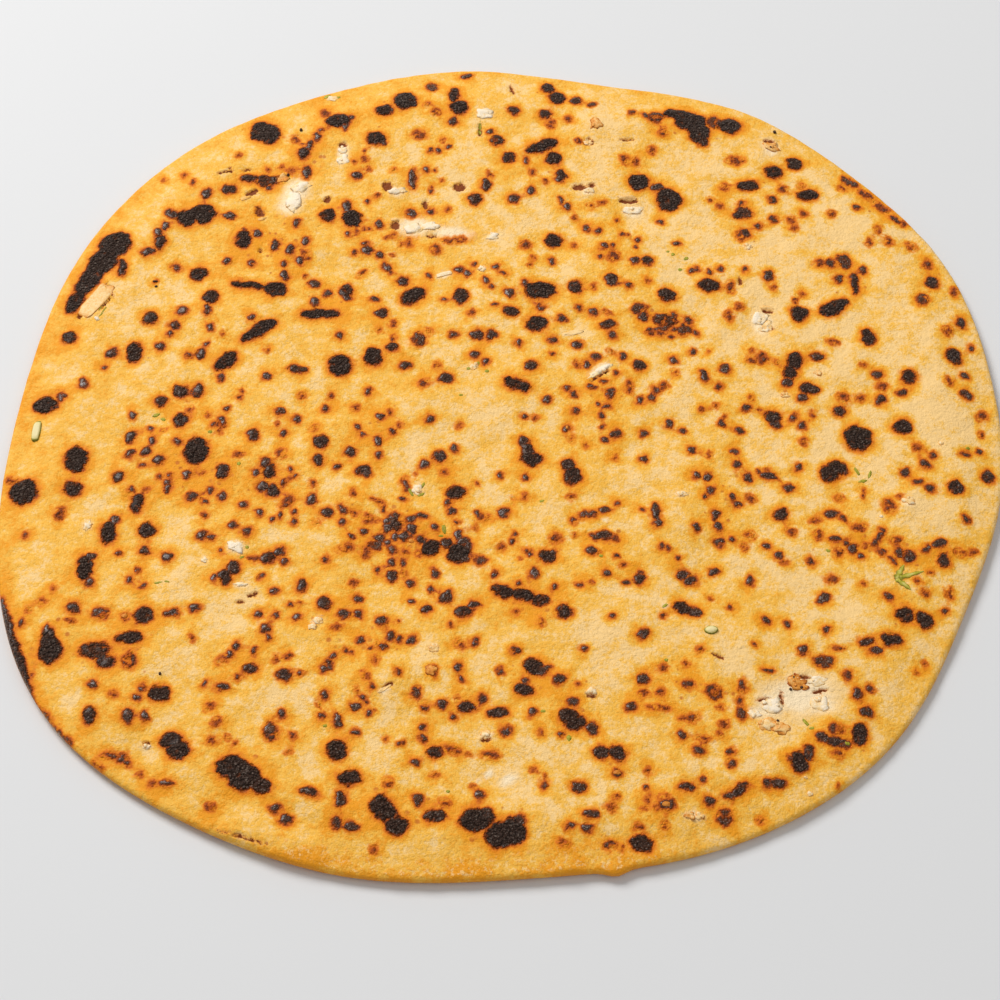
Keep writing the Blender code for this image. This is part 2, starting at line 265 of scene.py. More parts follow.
# The outline's box is centred on the origin, as the solid's is
turns = np.linspace(-math.pi, math.pi, OUTLINE_STEPS, endpoint=False)
edge_x = rim_radius(turns) * np.cos(turns)
edge_y = rim_radius(turns) * np.sin(turns)
SHIFT_X = -(edge_x.min() + edge_x.max()) / 2.0
SHIFT_Y = -(edge_y.min() + edge_y.max()) / 2.0

# The rolled dough: where the griddle scorched it
# Blisters of the skin that touched the hot griddle longest. Each mark is given as the photo shows it: column
# and row of its middle, width and height in pixels, and where it isn't level, its turn in degrees,
# anticlockwise.
CHARRED = (
    # far left
    (115, 244, 33, 26, 35), (103, 260, 42, 24, 50), (89, 279, 38, 20, 55), (75, 300, 26, 15, 62),
    (122, 268, 10, 18), (260, 129, 20, 22), (270, 132, 20, 22), (405, 100, 24, 18), (384, 110, 18, 12),
    (454, 94, 11, 16), (459, 108, 18, 15), (453, 121, 10, 8), (467, 73, 12, 5), (297, 224, 8, 9),
    (338, 121, 26, 14), (303, 153, 13, 14), (311, 145, 8, 11), (317, 137, 8, 10), (306, 171, 8, 14),
    (250, 179, 20, 8), (230, 190, 16, 8), (207, 195, 10, 10), (203, 215, 26, 20), (188, 219, 22, 17),
    (174, 216, 14, 9), (168, 214, 8, 8), (230, 217, 14, 8), (160, 243, 12, 15), (159, 233, 9, 9),
    (166, 227, 9, 8), (148, 252, 14, 9), (244, 241, 16, 18), (257, 234, 8, 8), (275, 246, 10, 12),
    (290, 250, 9, 12), (306, 241, 8, 8), (300, 261, 10, 9), (284, 265, 9, 9), (285, 277, 11, 9),
    (227, 262, 9, 8), (199, 273, 18, 14), (248, 286, 36, 8, -10), (275, 290, 24, 15), (328, 215, 16, 14),
    (352, 219, 20, 18), (347, 206, 9, 14), (379, 224, 9, 9), (357, 175, 11, 9), (376, 139, 20, 12),
    (475, 199, 14, 12), (486, 185, 10, 12), (367, 250, 10, 9), (379, 254, 10, 9), (387, 266, 9, 8),
    (403, 280, 14, 11), (413, 295, 27, 15, 30), (461, 296, 14, 16), (346, 290, 14, 13), (328, 292, 6, 6),
    (315, 284, 12, 9), (320, 314, 40, 10), (315, 302, 10, 11), (382, 312, 14, 10), (340, 335, 10, 9),
    (211, 297, 16, 15), (207, 310, 8, 12), (150, 318, 16, 13), (174, 325, 12, 10), (169, 334, 8, 7),
    (260, 330, 40, 12, 30), (69, 337, 16, 14), (112, 352, 11, 10), (134, 352, 16, 21), (160, 346, 11, 9),
    (201, 353, 12, 11), (226, 361, 27, 15, 35), (221, 378, 8, 9), (340, 365, 24, 23), (373, 357, 20, 18),
    (392, 347, 14, 11), (406, 365, 13, 10), (454, 334, 12, 8), (477, 334, 12, 10), (491, 336, 12, 11),
    (475, 354, 12, 8), (446, 378, 16, 10), (267, 376, 10, 8), (298, 369, 20, 8), (280, 412, 10, 9),
    (297, 419, 9, 8), (283, 432, 8, 8), (181, 391, 15, 13), (198, 390, 12, 14), (161, 402, 13, 11),
    (181, 420, 17, 14), (45, 404, 26, 17), (253, 434, 13, 13), (321, 442, 15, 14), (318, 460, 13, 12),
    (337, 466, 11, 8), (350, 452, 12, 10), (363, 470, 17, 11), (131, 437, 12, 14), (130, 455, 11, 9),
    (146, 451, 12, 11), (159, 460, 12, 11), (118, 477, 14, 13), (196, 451, 26, 27), (178, 442, 9, 8),
    (76, 459, 24, 25), (73, 488, 20, 15), (24, 491, 30, 27), (223, 472, 13, 15), (265, 463, 9, 12),
    (270, 472, 15, 14), (262, 486, 12, 11), (272, 490, 17, 13), (440, 456, 13, 12), (430, 419, 10, 9),
    (456, 491, 20, 15),
    # far right
    (548, 86, 15, 12), (557, 97, 17, 13), (575, 100, 12, 8), (514, 111, 12, 9), (545, 114, 13, 9),
    (541, 147, 32, 12, 20), (509, 158, 15, 12), (554, 159, 17, 13), (561, 176, 12, 13), (531, 191, 9, 8),
    (513, 199, 12, 9), (676, 114, 26, 11), (690, 121, 34, 20), (699, 133, 22, 20), (702, 142, 11, 10),
    (730, 126, 24, 18), (632, 113, 10, 5), (639, 182, 22, 17), (658, 187, 13, 8), (669, 199, 25, 23),
    (795, 163, 16, 13), (774, 172, 18, 14), (748, 185, 22, 11), (808, 195, 22, 11), (744, 234, 12, 10),
    (758, 226, 9, 8), (554, 240, 17, 15), (552, 261, 8, 8), (541, 291, 33, 19), (575, 287, 15, 12),
    (511, 312, 16, 12), (537, 324, 22, 16), (562, 319, 12, 8), (611, 280, 14, 11), (604, 247, 10, 8),
    (635, 261, 9, 8), (647, 261, 14, 11), (709, 286, 22, 12), (667, 295, 18, 13), (768, 276, 12, 10),
    (799, 314, 18, 17), (834, 308, 30, 14, 30), (855, 284, 9, 23), (643, 316, 11, 10), (608, 325, 16, 10),
    (612, 335, 10, 7), (577, 345, 12, 9), (531, 367, 14, 10), (639, 366, 14, 11), (725, 368, 10, 9),
    (704, 376, 9, 14), (517, 386, 30, 12, -20), (795, 360, 17, 17), (790, 372, 15, 16), (787, 383, 11, 10),
    (817, 357, 16, 9), (868, 338, 14, 18), (809, 389, 20, 10), (803, 398, 12, 9), (954, 357, 16, 17),
    (909, 378, 16, 16), (965, 376, 10, 9), (966, 395, 12, 10), (881, 400, 12, 11), (902, 393, 10, 9),
    (878, 375, 12, 8), (961, 322, 12, 13), (932, 282, 14, 12), (858, 438, 28, 26), (902, 427, 20, 15),
    (840, 411, 14, 10), (838, 468, 16, 18, 40), (829, 475, 20, 16), (773, 416, 17, 14), (776, 424, 13, 9),
    (669, 424, 10, 9), (722, 424, 10, 9), (644, 434, 9, 8), (644, 459, 9, 8), (616, 435, 13, 9, 30),
    (606, 441, 9, 5, 20), (532, 459, 24, 14), (528, 450, 15, 14), (524, 441, 13, 11), (568, 465, 15, 14),
    (573, 477, 17, 16), (989, 475, 14, 13), (955, 488, 17, 13), (769, 475, 16, 8), (747, 477, 11, 10),
    (696, 476, 10, 9), (918, 483, 14, 7),
    # near left
    (50, 651, 26, 27), (47, 640, 17, 20), (45, 631, 8, 12), (106, 663, 20, 13), (88, 648, 12, 9),
    (129, 639, 32, 12), (73, 608, 16, 11), (144, 616, 19, 17), (171, 614, 17, 8), (108, 532, 17, 24),
    (115, 519, 11, 9), (147, 529, 18, 16), (144, 551, 13, 11), (167, 557, 14, 10), (137, 503, 15, 18),
    (85, 569, 17, 26), (91, 557, 12, 9), (225, 577, 13, 17), (233, 568, 13, 15), (268, 558, 18, 13),
    (279, 552, 12, 11), (301, 585, 12, 15), (275, 591, 9, 8), (266, 629, 12, 10), (268, 639, 8, 7),
    (327, 512, 13, 11), (395, 526, 15, 13), (388, 521, 10, 9), (404, 537, 12, 11), (412, 529, 13, 10),
    (430, 548, 21, 17), (421, 538, 12, 9), (459, 553, 25, 21), (446, 543, 15, 11), (464, 541, 13, 9),
    (364, 532, 10, 9), (379, 538, 12, 9), (392, 551, 10, 8), (392, 576, 13, 12), (410, 583, 10, 9),
    (357, 598, 11, 9), (324, 604, 15, 13), (446, 597, 14, 12), (426, 610, 14, 11), (464, 612, 20, 13),
    (474, 604, 14, 10), (159, 694, 23, 17), (137, 698, 10, 9), (250, 669, 16, 13), (284, 676, 16, 12),
    (222, 687, 15, 10), (329, 665, 9, 12), (323, 670, 9, 8), (334, 657, 7, 7), (237, 646, 11, 10),
    (230, 654, 9, 9), (89, 715, 14, 20), (128, 717, 13, 13), (145, 718, 10, 9), (92, 685, 10, 9),
    (170, 740, 22, 16), (178, 751, 24, 20), (232, 767, 34, 24), (245, 777, 34, 26), (261, 786, 20, 16),
    (275, 807, 12, 9), (285, 819, 15, 12), (309, 793, 22, 10, -20), (337, 750, 21, 19), (349, 778, 26, 16),
    (341, 799, 12, 19), (336, 822, 13, 12), (352, 826, 15, 11), (379, 805, 20, 20), (386, 812, 24, 20),
    (397, 826, 24, 20), (418, 800, 13, 12), (435, 816, 22, 14), (474, 820, 30, 24), (488, 816, 18, 16),
    (499, 835, 30, 26), (512, 831, 28, 28), (519, 820, 14, 12), (461, 679, 9, 8), (459, 667, 8, 12),
    (442, 704, 12, 11), (467, 707, 18, 13), (453, 717, 9, 8), (354, 707, 13, 9), (338, 723, 9, 8),
    (435, 752, 19, 15), (415, 762, 12, 8), (281, 714, 10, 8),
    # near right
    (503, 592, 24, 13, -20), (524, 596, 26, 14, -10), (541, 601, 20, 13), (564, 612, 16, 14),
    (548, 557, 19, 14), (534, 575, 9, 11), (604, 536, 16, 10), (591, 551, 13, 9), (656, 513, 10, 18),
    (657, 524, 9, 9), (715, 516, 9, 12), (718, 527, 10, 10), (696, 529, 8, 11), (781, 515, 17, 12),
    (640, 580, 12, 14), (607, 574, 9, 8), (682, 574, 14, 10), (691, 581, 14, 10), (713, 571, 12, 9),
    (750, 580, 8, 10), (683, 608, 20, 14, -20), (694, 612, 14, 11), (643, 635, 13, 12), (766, 620, 11, 9),
    (825, 597, 13, 10), (827, 629, 10, 9), (836, 539, 14, 6, 0), (846, 543, 8, 6, -30), (852, 549, 12, 11),
    (861, 557, 9, 7), (831, 514, 15, 9), (842, 519, 10, 7), (882, 531, 7, 7), (880, 537, 6, 10, -30),
    (875, 544, 9, 7, 30), (882, 551, 9, 5, -30), (892, 562, 14, 4, -50), (898, 553, 10, 11),
    (909, 557, 12, 12), (926, 549, 15, 6, 25), (940, 544, 14, 10, 20), (944, 561, 14, 14),
    (905, 614, 20, 17), (925, 619, 19, 16), (889, 596, 12, 8), (946, 609, 8, 7), (867, 641, 19, 9),
    (892, 639, 23, 12), (876, 651, 15, 8), (533, 666, 20, 17), (540, 672, 14, 10), (524, 690, 21, 13),
    (559, 680, 15, 12), (642, 679, 15, 11), (631, 707, 13, 10), (533, 713, 12, 9), (568, 716, 20, 15),
    (576, 724, 22, 15), (592, 729, 13, 12), (601, 753, 18, 13), (617, 754, 20, 15), (578, 786, 16, 11),
    (642, 843, 24, 16), (591, 814, 17, 10), (588, 828, 14, 8), (570, 826, 8, 8), (682, 737, 11, 9),
    (699, 751, 11, 9), (710, 801, 14, 10), (740, 788, 22, 11, 30), (729, 794, 13, 9), (768, 784, 10, 12),
    (779, 783, 17, 10), (799, 762, 19, 21), (809, 752, 12, 17), (789, 758, 7, 7), (823, 736, 16, 10, -10),
    (834, 740, 18, 11, -10), (845, 743, 12, 8, -25), (861, 732, 17, 20), (867, 711, 16, 13),
    (858, 693, 11, 15), (769, 669, 12, 5), (803, 650, 11, 9), (646, 787, 8, 6), (687, 788, 20, 10),
)
BROWNED = (
    (268, 181, 24, 13), (432, 85, 12, 12), (252, 263, 9, 8), (176, 267, 10, 8), (413, 179, 8, 20),
    (182, 310, 12, 10), (419, 339, 15, 14), (61, 397, 10, 9), (83, 383, 12, 10), (405, 485, 8, 16),
    (655, 118, 18, 12), (714, 122, 16, 14), (744, 212, 18, 12), (922, 300, 12, 12), (844, 261, 16, 14),
    (850, 180, 20, 7, -35), (866, 193, 18, 7, -35), (895, 218, 14, 5, -35), (95, 651, 32, 20),
    (129, 661, 15, 20), (100, 614, 18, 12), (126, 617, 10, 9), (271, 731, 16, 19), (110, 754, 16, 8),
    (123, 758, 14, 9), (166, 782, 16, 8), (210, 806, 12, 9), (416, 694, 12, 13), (585, 515, 16, 8),
    (573, 520, 8, 8), (714, 693, 16, 15), (688, 685, 14, 8), (743, 687, 9, 13), (740, 700, 8, 9),
    (741, 714, 12, 13), (731, 764, 12, 10), (731, 751, 10, 9), (836, 728, 16, 11), (871, 687, 10, 9),
    (848, 675, 10, 9), (666, 805, 17, 12), (725, 816, 18, 16), (824, 661, 20, 12), (610, 844, 16, 8),
    (617, 773, 10, 9), (666, 320, 26, 14), (640, 309, 18, 10), (684, 330, 20, 10), (660, 331, 16, 8),
    (375, 545, 16, 10), (480, 560, 14, 10), (846, 743, 16, 9),
)
# Smaller blisters, most of them a single bubble: column, row, width and, where it isn't round, height in
# pixels and its turn
SMALL_CHARRED = (
    # far left
    (193, 184, 4, 8), (264, 183, 9, 8), (269, 188, 6), (321, 130, 6, 4), (225, 216, 5), (245, 231, 5),
    (328, 293, 10, 5), (211, 327, 8, 7), (251, 318, 9, 7), (156, 281, 5, 2), (392, 110, 6), (352, 117, 6),
    (345, 127, 8, 7), (383, 143, 9, 5), (430, 151, 6), (438, 151, 6), (448, 147, 5), (365, 151, 4),
    (412, 178, 8, 17), (426, 170, 7), (435, 171, 4), (432, 186, 4), (430, 191, 5), (376, 195, 6),
    (369, 200, 5), (369, 228, 4), (364, 228, 4), (357, 232, 5), (348, 234, 6), (365, 243, 8, 6),
    (354, 253, 7), (384, 264, 6), (390, 270, 5), (374, 299, 12, 6), (348, 297, 11, 7), (393, 323, 7),
    (393, 338, 6), (411, 211, 10, 9), (430, 210, 10, 6), (497, 141, 14, 11), (491, 132, 9, 6),
    (467, 273, 8, 7), (460, 269, 12, 6), (429, 275, 7), (444, 299, 8, 5), (486, 281, 8, 9), (491, 287, 6),
    (495, 267, 11, 6), (475, 264, 6), (369, 391, 8), (381, 416, 8), (391, 432, 8), (358, 428, 8),
    (362, 435, 7), (378, 441, 10), (379, 454, 8), (368, 473, 10), (360, 471, 8), (455, 448, 8),
    (438, 455, 12), (425, 464, 9), (477, 482, 4), (486, 361, 8), (448, 502, 9), (452, 511, 9),
    (404, 499, 11, 6), (104, 367, 7, 5), (187, 356, 8, 7), (206, 344, 6), (242, 390, 6), (239, 397, 5),
    (227, 408, 7), (325, 408, 8), (150, 429, 6), (153, 441, 8), (142, 466, 7, 5), (221, 422, 11, 12),
    (214, 424, 6), (186, 474, 9), (170, 474, 5), (160, 476, 6), (167, 482, 8, 7), (168, 488, 8),
    (133, 416, 9, 8), (210, 490, 8), (222, 495, 9), (283, 481, 8), (255, 473, 9), (291, 470, 6),
    (297, 475, 6),
    # far right
    (526, 161, 7, 8), (559, 179, 9, 7), (578, 142, 8, 6), (592, 104, 8, 5), (645, 116, 6), (561, 200, 5, 7),
    (567, 207, 9, 8), (587, 229, 9), (598, 231, 6), (616, 220, 5), (660, 221, 7), (622, 234, 6),
    (628, 235, 4), (638, 240, 7), (636, 247, 4), (613, 245, 5), (600, 257, 6), (525, 284, 9, 8),
    (510, 293, 10, 9), (503, 274, 8, 7), (496, 305, 8, 5), (541, 307, 9, 8), (578, 308, 8, 7),
    (593, 313, 10, 8), (629, 287, 8, 7), (651, 331, 11, 8), (660, 316, 10, 7), (772, 199, 10, 9),
    (773, 219, 8), (742, 203, 8), (742, 213, 20, 10, 25), (857, 207, 10, 6), (677, 243, 8, 6),
    (661, 221, 5), (692, 270, 6), (697, 269, 6), (710, 273, 7), (720, 269, 6), (746, 270, 6), (839, 279, 8),
    (853, 277, 8), (845, 258, 10, 9), (844, 265, 9), (831, 264, 11, 10), (862, 271, 9), (796, 301, 6),
    (689, 320, 9, 8), (675, 314, 7), (666, 328, 6), (674, 329, 6), (683, 325, 5), (681, 334, 5),
    (696, 332, 6), (662, 334, 5), (671, 336, 5), (552, 340, 11, 7), (518, 343, 8), (552, 353, 5),
    (547, 400, 10, 9), (524, 417, 9, 6), (567, 429, 8), (587, 365, 8), (595, 358, 10, 7), (623, 357, 8, 10),
    (616, 374, 7), (566, 389, 8, 6), (575, 395, 9, 7), (592, 388, 12, 6), (610, 395, 9, 12),
    (604, 382, 10, 4), (640, 402, 9, 8), (651, 399, 9), (655, 390, 9, 8), (664, 385, 9, 6),
    (575, 412, 9, 8), (607, 407, 9, 5), (598, 406, 6, 4), (602, 417, 7), (605, 442, 8, 6), (602, 428, 5),
    (674, 360, 9, 7), (693, 351, 8, 7), (719, 387, 8, 6), (702, 410, 8, 6), (747, 408, 10, 8),
    (760, 409, 4, 2), (794, 417, 9), (802, 425, 9), (739, 430, 11, 8), (682, 431, 7, 6), (737, 465, 9, 8),
    (708, 477, 9, 10), (759, 472, 6), (798, 467, 9, 10), (788, 488, 14, 9), (712, 491, 9, 8), (706, 497, 7),
    (732, 497, 8), (500, 475, 8), (905, 473, 11, 9), (925, 465, 13, 9, -40), (933, 456, 9, 7),
    (931, 490, 11, 9), (966, 454, 13, 6), (980, 451, 8, 6), (863, 495, 3, 8), (972, 347, 7),
    # near left
    (344, 510, 9), (354, 514, 7), (343, 522, 8), (384, 508, 6), (351, 537, 8), (422, 516, 13, 7),
    (395, 517, 13, 12), (387, 529, 11, 10), (434, 526, 8), (380, 539, 8), (394, 537, 9), (459, 535, 10),
    (467, 547, 11), (462, 559, 18, 10), (457, 522, 6), (475, 527, 5), (478, 514, 8, 9), (404, 551, 7),
    (392, 563, 11, 9), (404, 562, 8), (435, 573, 8, 9), (431, 588, 7), (448, 593, 8), (411, 601, 8, 7),
    (377, 570, 7), (279, 515, 7), (272, 520, 6), (260, 512, 9), (243, 504, 9), (312, 499, 11),
    (294, 512, 6), (294, 521, 7), (204, 515, 6), (233, 526, 10, 8), (247, 532, 11, 10), (202, 536, 11, 9),
    (211, 537, 9, 6), (192, 496, 13, 10), (203, 501, 12, 5, -20), (284, 562, 10, 7), (282, 549, 8, 7),
    (118, 553, 8, 6), (138, 570, 8), (129, 581, 8), (143, 586, 7), (89, 583, 9), (132, 490, 7),
    (214, 579, 8), (222, 552, 6), (260, 576, 6), (326, 559, 9, 8), (195, 608, 12, 8), (258, 615, 12, 8),
    (276, 616, 6), (297, 617, 9, 8), (290, 604, 6), (254, 652, 7, 9), (288, 657, 7, 6), (238, 677, 6),
    (300, 674, 6), (32, 673, 5), (143, 688, 10, 7), (205, 685, 7), (325, 695, 9, 10), (321, 716, 10, 8),
    (337, 720, 8, 15), (293, 735, 6, 9), (21, 621, 8), (122, 755, 9, 9), (128, 762, 7, 6),
    (343, 615, 15, 10), (359, 614, 10, 9), (382, 621, 13, 11), (399, 621, 5), (391, 637, 10, 11),
    (399, 639, 7), (411, 640, 12, 9), (360, 640, 9), (384, 647, 10, 8), (370, 649, 5), (345, 652, 6),
    (351, 653, 6), (398, 673, 9, 8), (371, 688, 6), (363, 698, 9, 8), (367, 703, 5), (369, 712, 6),
    (374, 711, 3), (426, 708, 10, 8), (475, 643, 10, 9), (450, 626, 5), (482, 699, 10), (355, 733, 12, 7),
    (386, 738, 5), (402, 744, 9, 5), (423, 728, 9), (423, 739, 8, 7), (480, 795, 11, 9), (498, 713, 22, 13),
    (500, 672, 9), (504, 512, 14, 10), (341, 507, 6), (414, 519, 7), (388, 543, 8), (410, 521, 9, 8),
    # near right
    (526, 477, 8), (525, 550, 5), (530, 554, 7), (521, 558, 4), (553, 553, 8), (513, 540, 8), (514, 533, 5),
    (605, 510, 14, 8, 20), (593, 515, 9), (617, 503, 6), (594, 537, 9, 7), (623, 566, 7, 4),
    (616, 557, 8, 7), (642, 510, 5), (661, 546, 7, 5), (668, 549, 5), (495, 575, 10, 9), (519, 584, 7),
    (554, 588, 9, 8), (579, 585, 9, 6), (590, 583, 6, 4), (625, 583, 9, 6), (640, 573, 6), (737, 505, 8),
    (767, 546, 9, 8), (778, 555, 10, 8), (732, 540, 8, 6), (719, 542, 11, 9), (680, 560, 5),
    (820, 600, 7, 6), (730, 608, 5), (811, 560, 9, 10), (515, 651, 10, 9), (547, 670, 10, 8),
    (526, 681, 9, 8), (573, 703, 10, 9), (583, 649, 10, 7), (612, 618, 8, 6), (663, 616, 8, 6),
    (579, 685, 4), (506, 731, 12, 10), (562, 735, 9, 7), (545, 785, 10, 7), (544, 776, 5),
    (643, 678, 15, 11), (788, 623, 8, 7), (821, 601, 11, 5), (754, 646, 6, 5), (703, 780, 8, 7),
    (746, 785, 10, 7, 20), (662, 693, 6), (666, 709, 8, 5), (838, 784, 4), (691, 451, 10, 9), (735, 452, 8),
    (771, 477, 14, 8), (966, 519, 10, 9),
)
SMALL_BROWNED = (
    # far left
    (882, 206, 20, 9, -35), (869, 243, 9, 9), (912, 246, 12, 8), (904, 222, 8, 6, -35), (164, 178, 5),
    (185, 175, 6), (238, 155, 6), (268, 169, 5), (282, 167, 5), (293, 170, 6), (296, 138, 8),
    (325, 112, 11, 9), (258, 212, 5, 8), (304, 251, 7), (307, 257, 8), (304, 276, 5), (222, 333, 5),
    (436, 112, 9), (427, 104, 6), (419, 135, 15, 9), (444, 140, 5), (365, 159, 8), (354, 162, 5),
    (369, 169, 5), (393, 169, 9, 4, 30), (442, 180, 4), (448, 209, 6), (391, 236, 15, 5, 15), (401, 243, 6),
    (409, 242, 6, 10), (393, 254, 6, 4), (362, 272, 11, 5, 40), (379, 329, 6), (436, 248, 10, 11),
    (456, 240, 20, 7, 10), (446, 239, 9, 4), (490, 174, 5), (472, 314, 9, 7), (429, 330, 8, 7),
    (437, 365, 7), (424, 383, 13, 10), (356, 407, 8), (390, 412, 7), (400, 425, 6), (458, 425, 6),
    (444, 470, 8), (415, 473, 4), (266, 350, 5), (302, 395, 7), (331, 396, 8), (190, 410, 7), (277, 424, 5),
    (314, 429, 7), (162, 431, 5), (220, 431, 6), (208, 415, 6), (282, 454, 11), (239, 454, 11, 6),
    (202, 474, 7, 5), (146, 489, 7), (312, 484, 8), (60, 513, 13, 15), (10, 478, 10, 8), (24, 534, 9),
    (60, 394, 9, 8), (353, 494, 7, 9), (376, 500, 13, 5, -20), (287, 501, 18, 10, 35),
    # far right
    (568, 120, 8), (551, 124, 9), (662, 133, 11, 10), (652, 151, 9), (624, 160, 9, 10), (636, 162, 9),
    (545, 182, 6), (532, 173, 7), (602, 202, 9, 5), (591, 207, 6), (575, 218, 7), (614, 257, 13, 11),
    (574, 245, 6), (526, 245, 12, 10), (533, 258, 5), (530, 265, 5), (608, 313, 13, 5, -20), (593, 287, 6),
    (648, 280, 6), (735, 160, 19, 8), (724, 187, 8), (782, 189, 8), (801, 185, 7), (720, 206, 7),
    (710, 199, 5), (759, 226, 10, 8), (791, 220, 9), (794, 228, 9, 5, 20), (804, 214, 8), (831, 215, 8),
    (842, 187, 8), (742, 235, 12, 13), (889, 242, 9), (879, 230, 6, 9), (928, 263, 11, 9),
    (923, 300, 13, 10), (955, 291, 6, 11), (947, 331, 11), (819, 262, 11, 9), (773, 288, 8, 7),
    (730, 287, 8, 12), (801, 293, 6), (739, 307, 8), (729, 316, 10), (534, 418, 6), (526, 497, 6),
    (571, 439, 6), (571, 497, 7), (576, 365, 6), (611, 352, 6), (629, 388, 7, 15), (615, 458, 5),
    (586, 446, 5), (708, 351, 4), (675, 372, 6), (663, 387, 11, 7, 35), (715, 406, 5), (751, 398, 6),
    (762, 358, 12, 12), (752, 360, 9, 6), (751, 351, 6), (776, 362, 6), (833, 343, 12, 7), (863, 366, 8, 5),
    (881, 387, 11, 8), (843, 397, 12, 10), (860, 398, 11, 8, 40), (948, 382, 9), (812, 414, 7),
    (804, 442, 9, 8), (725, 417, 5), (708, 455, 6), (767, 470, 7), (751, 499, 10), (839, 498, 9, 8),
    (916, 449, 10, 9), (983, 415, 12, 10), (982, 433, 6), (889, 507, 13, 14), (900, 497, 6), (513, 497, 4),
    # near left
    (369, 519, 12, 10), (392, 549, 11, 9), (418, 553, 9), (377, 545, 8), (485, 517, 14, 8),
    (346, 548, 16, 8), (366, 552, 12), (354, 583, 9), (404, 573, 6), (256, 559, 15, 7), (317, 523, 7, 4),
    (54, 587, 6), (42, 601, 9, 7), (28, 610, 7), (70, 621, 9, 5), (176, 616, 9, 5), (300, 603, 4),
    (222, 660, 12, 8), (275, 660, 6, 9), (113, 695, 8), (210, 706, 9), (217, 723, 11), (211, 741, 9),
    (227, 737, 5), (233, 743, 5), (320, 704, 5), (289, 752, 7, 5), (107, 753, 15, 9), (139, 773, 8, 6),
    (152, 782, 10, 7), (96, 762, 12, 4, -35), (336, 628, 12, 8, 20), (377, 645, 6), (375, 661, 8),
    (434, 671, 9, 12), (457, 698, 6), (459, 645, 12, 9), (452, 750, 20, 8, -15), (469, 755, 5),
    (435, 776, 8, 5), (388, 783, 9), (473, 787, 8, 5), (445, 802, 12, 7), (192, 639, 7), (374, 849, 8),
    (366, 678, 9), (357, 691, 5),
    # near right
    (491, 754, 19, 8), (515, 613, 6), (541, 624, 9), (540, 733, 6), (533, 770, 7), (617, 798, 8),
    (612, 808, 6), (648, 771, 6), (646, 788, 6), (564, 841, 13, 10), (647, 801, 6), (654, 806, 7, 5),
    (660, 799, 5), (666, 796, 5), (657, 810, 6, 4), (673, 800, 6), (644, 807, 4), (651, 796, 4),
    (644, 694, 11, 8), (660, 693, 10, 8), (655, 708, 17, 5), (663, 670, 9), (685, 665, 7), (719, 707, 9, 6),
    (689, 718, 20, 8), (724, 725, 9), (703, 739, 16, 7), (761, 818, 8), (665, 824, 8), (926, 661, 5),
    (917, 669, 5), (838, 647, 13, 5), (700, 649, 8), (838, 752, 12, 8), (556, 538, 11), (576, 535, 5),
    (614, 538, 9), (582, 515, 10, 7), (501, 547, 9), (750, 535, 12, 8), (744, 548, 8), (785, 562, 11, 5),
    (792, 532, 11, 8), (858, 528, 14, 8, 15), (819, 536, 8, 12), (816, 520, 14, 5, 10), (866, 545, 8, 6),
    (880, 552, 13, 8, -30), (896, 541, 10, 7), (960, 551, 13, 8), (974, 551, 11, 5, 15), (838, 554, 11, 10),
    (832, 578, 14, 8), (863, 583, 8, 5), (931, 573, 7, 5), (917, 580, 9, 7), (925, 592, 10, 6),
    (950, 591, 7, 12), (711, 598, 5), (598, 553, 7), (640, 843, 9), (611, 845, 8), (622, 846, 5),
    (640, 826, 12, 6), (720, 735, 6),
)
# The rolled dough: pale and browner patches
# Where the filling shows pale through thin skin, where the skin is torn, and where it browned without
# blistering. Each patch is column, row, width and height in pixels, and where it isn't level, its turn in
# degrees.
PALE_PATCHES = (
    (296, 191, 26, 34, -15), (289, 206, 24, 22), (343, 153, 13, 22), (414, 225, 42, 22), (396, 191, 18, 9),
    (452, 232, 48, 14, -8), (486, 774, 28, 7, 38), (508, 779, 26, 12, 30), (800, 694, 70, 40),
    (485, 114, 18, 10), (493, 237, 16, 8), (634, 211, 22, 11), (588, 192, 14, 7), (762, 322, 24, 26),
    (748, 246, 10, 8), (771, 147, 17, 22), (600, 370, 26, 10, 30), (606, 519, 10, 5), (236, 547, 20, 14),
    (241, 584, 17, 7), (204, 560, 9, 7), (87, 525, 9, 12), (146, 745, 9, 8), (318, 621, 13, 9),
    (434, 648, 12, 9), (486, 735, 14, 9), (591, 693, 12, 9), (772, 703, 34, 26), (812, 684, 40, 20),
    (822, 703, 30, 20), (756, 712, 20, 14), (908, 503, 14, 10), (818, 373, 9, 7), (785, 395, 9, 7),
    (417, 489, 12, 11), (681, 495, 13, 7), (811, 791, 8, 7), (694, 815, 22, 9), (444, 273, 18, 7, 15),
    (385, 693, 14, 8), (310, 699, 10, 7), (562, 519, 8, 6), (482, 269, 8, 6), (665, 605, 10, 8),
)
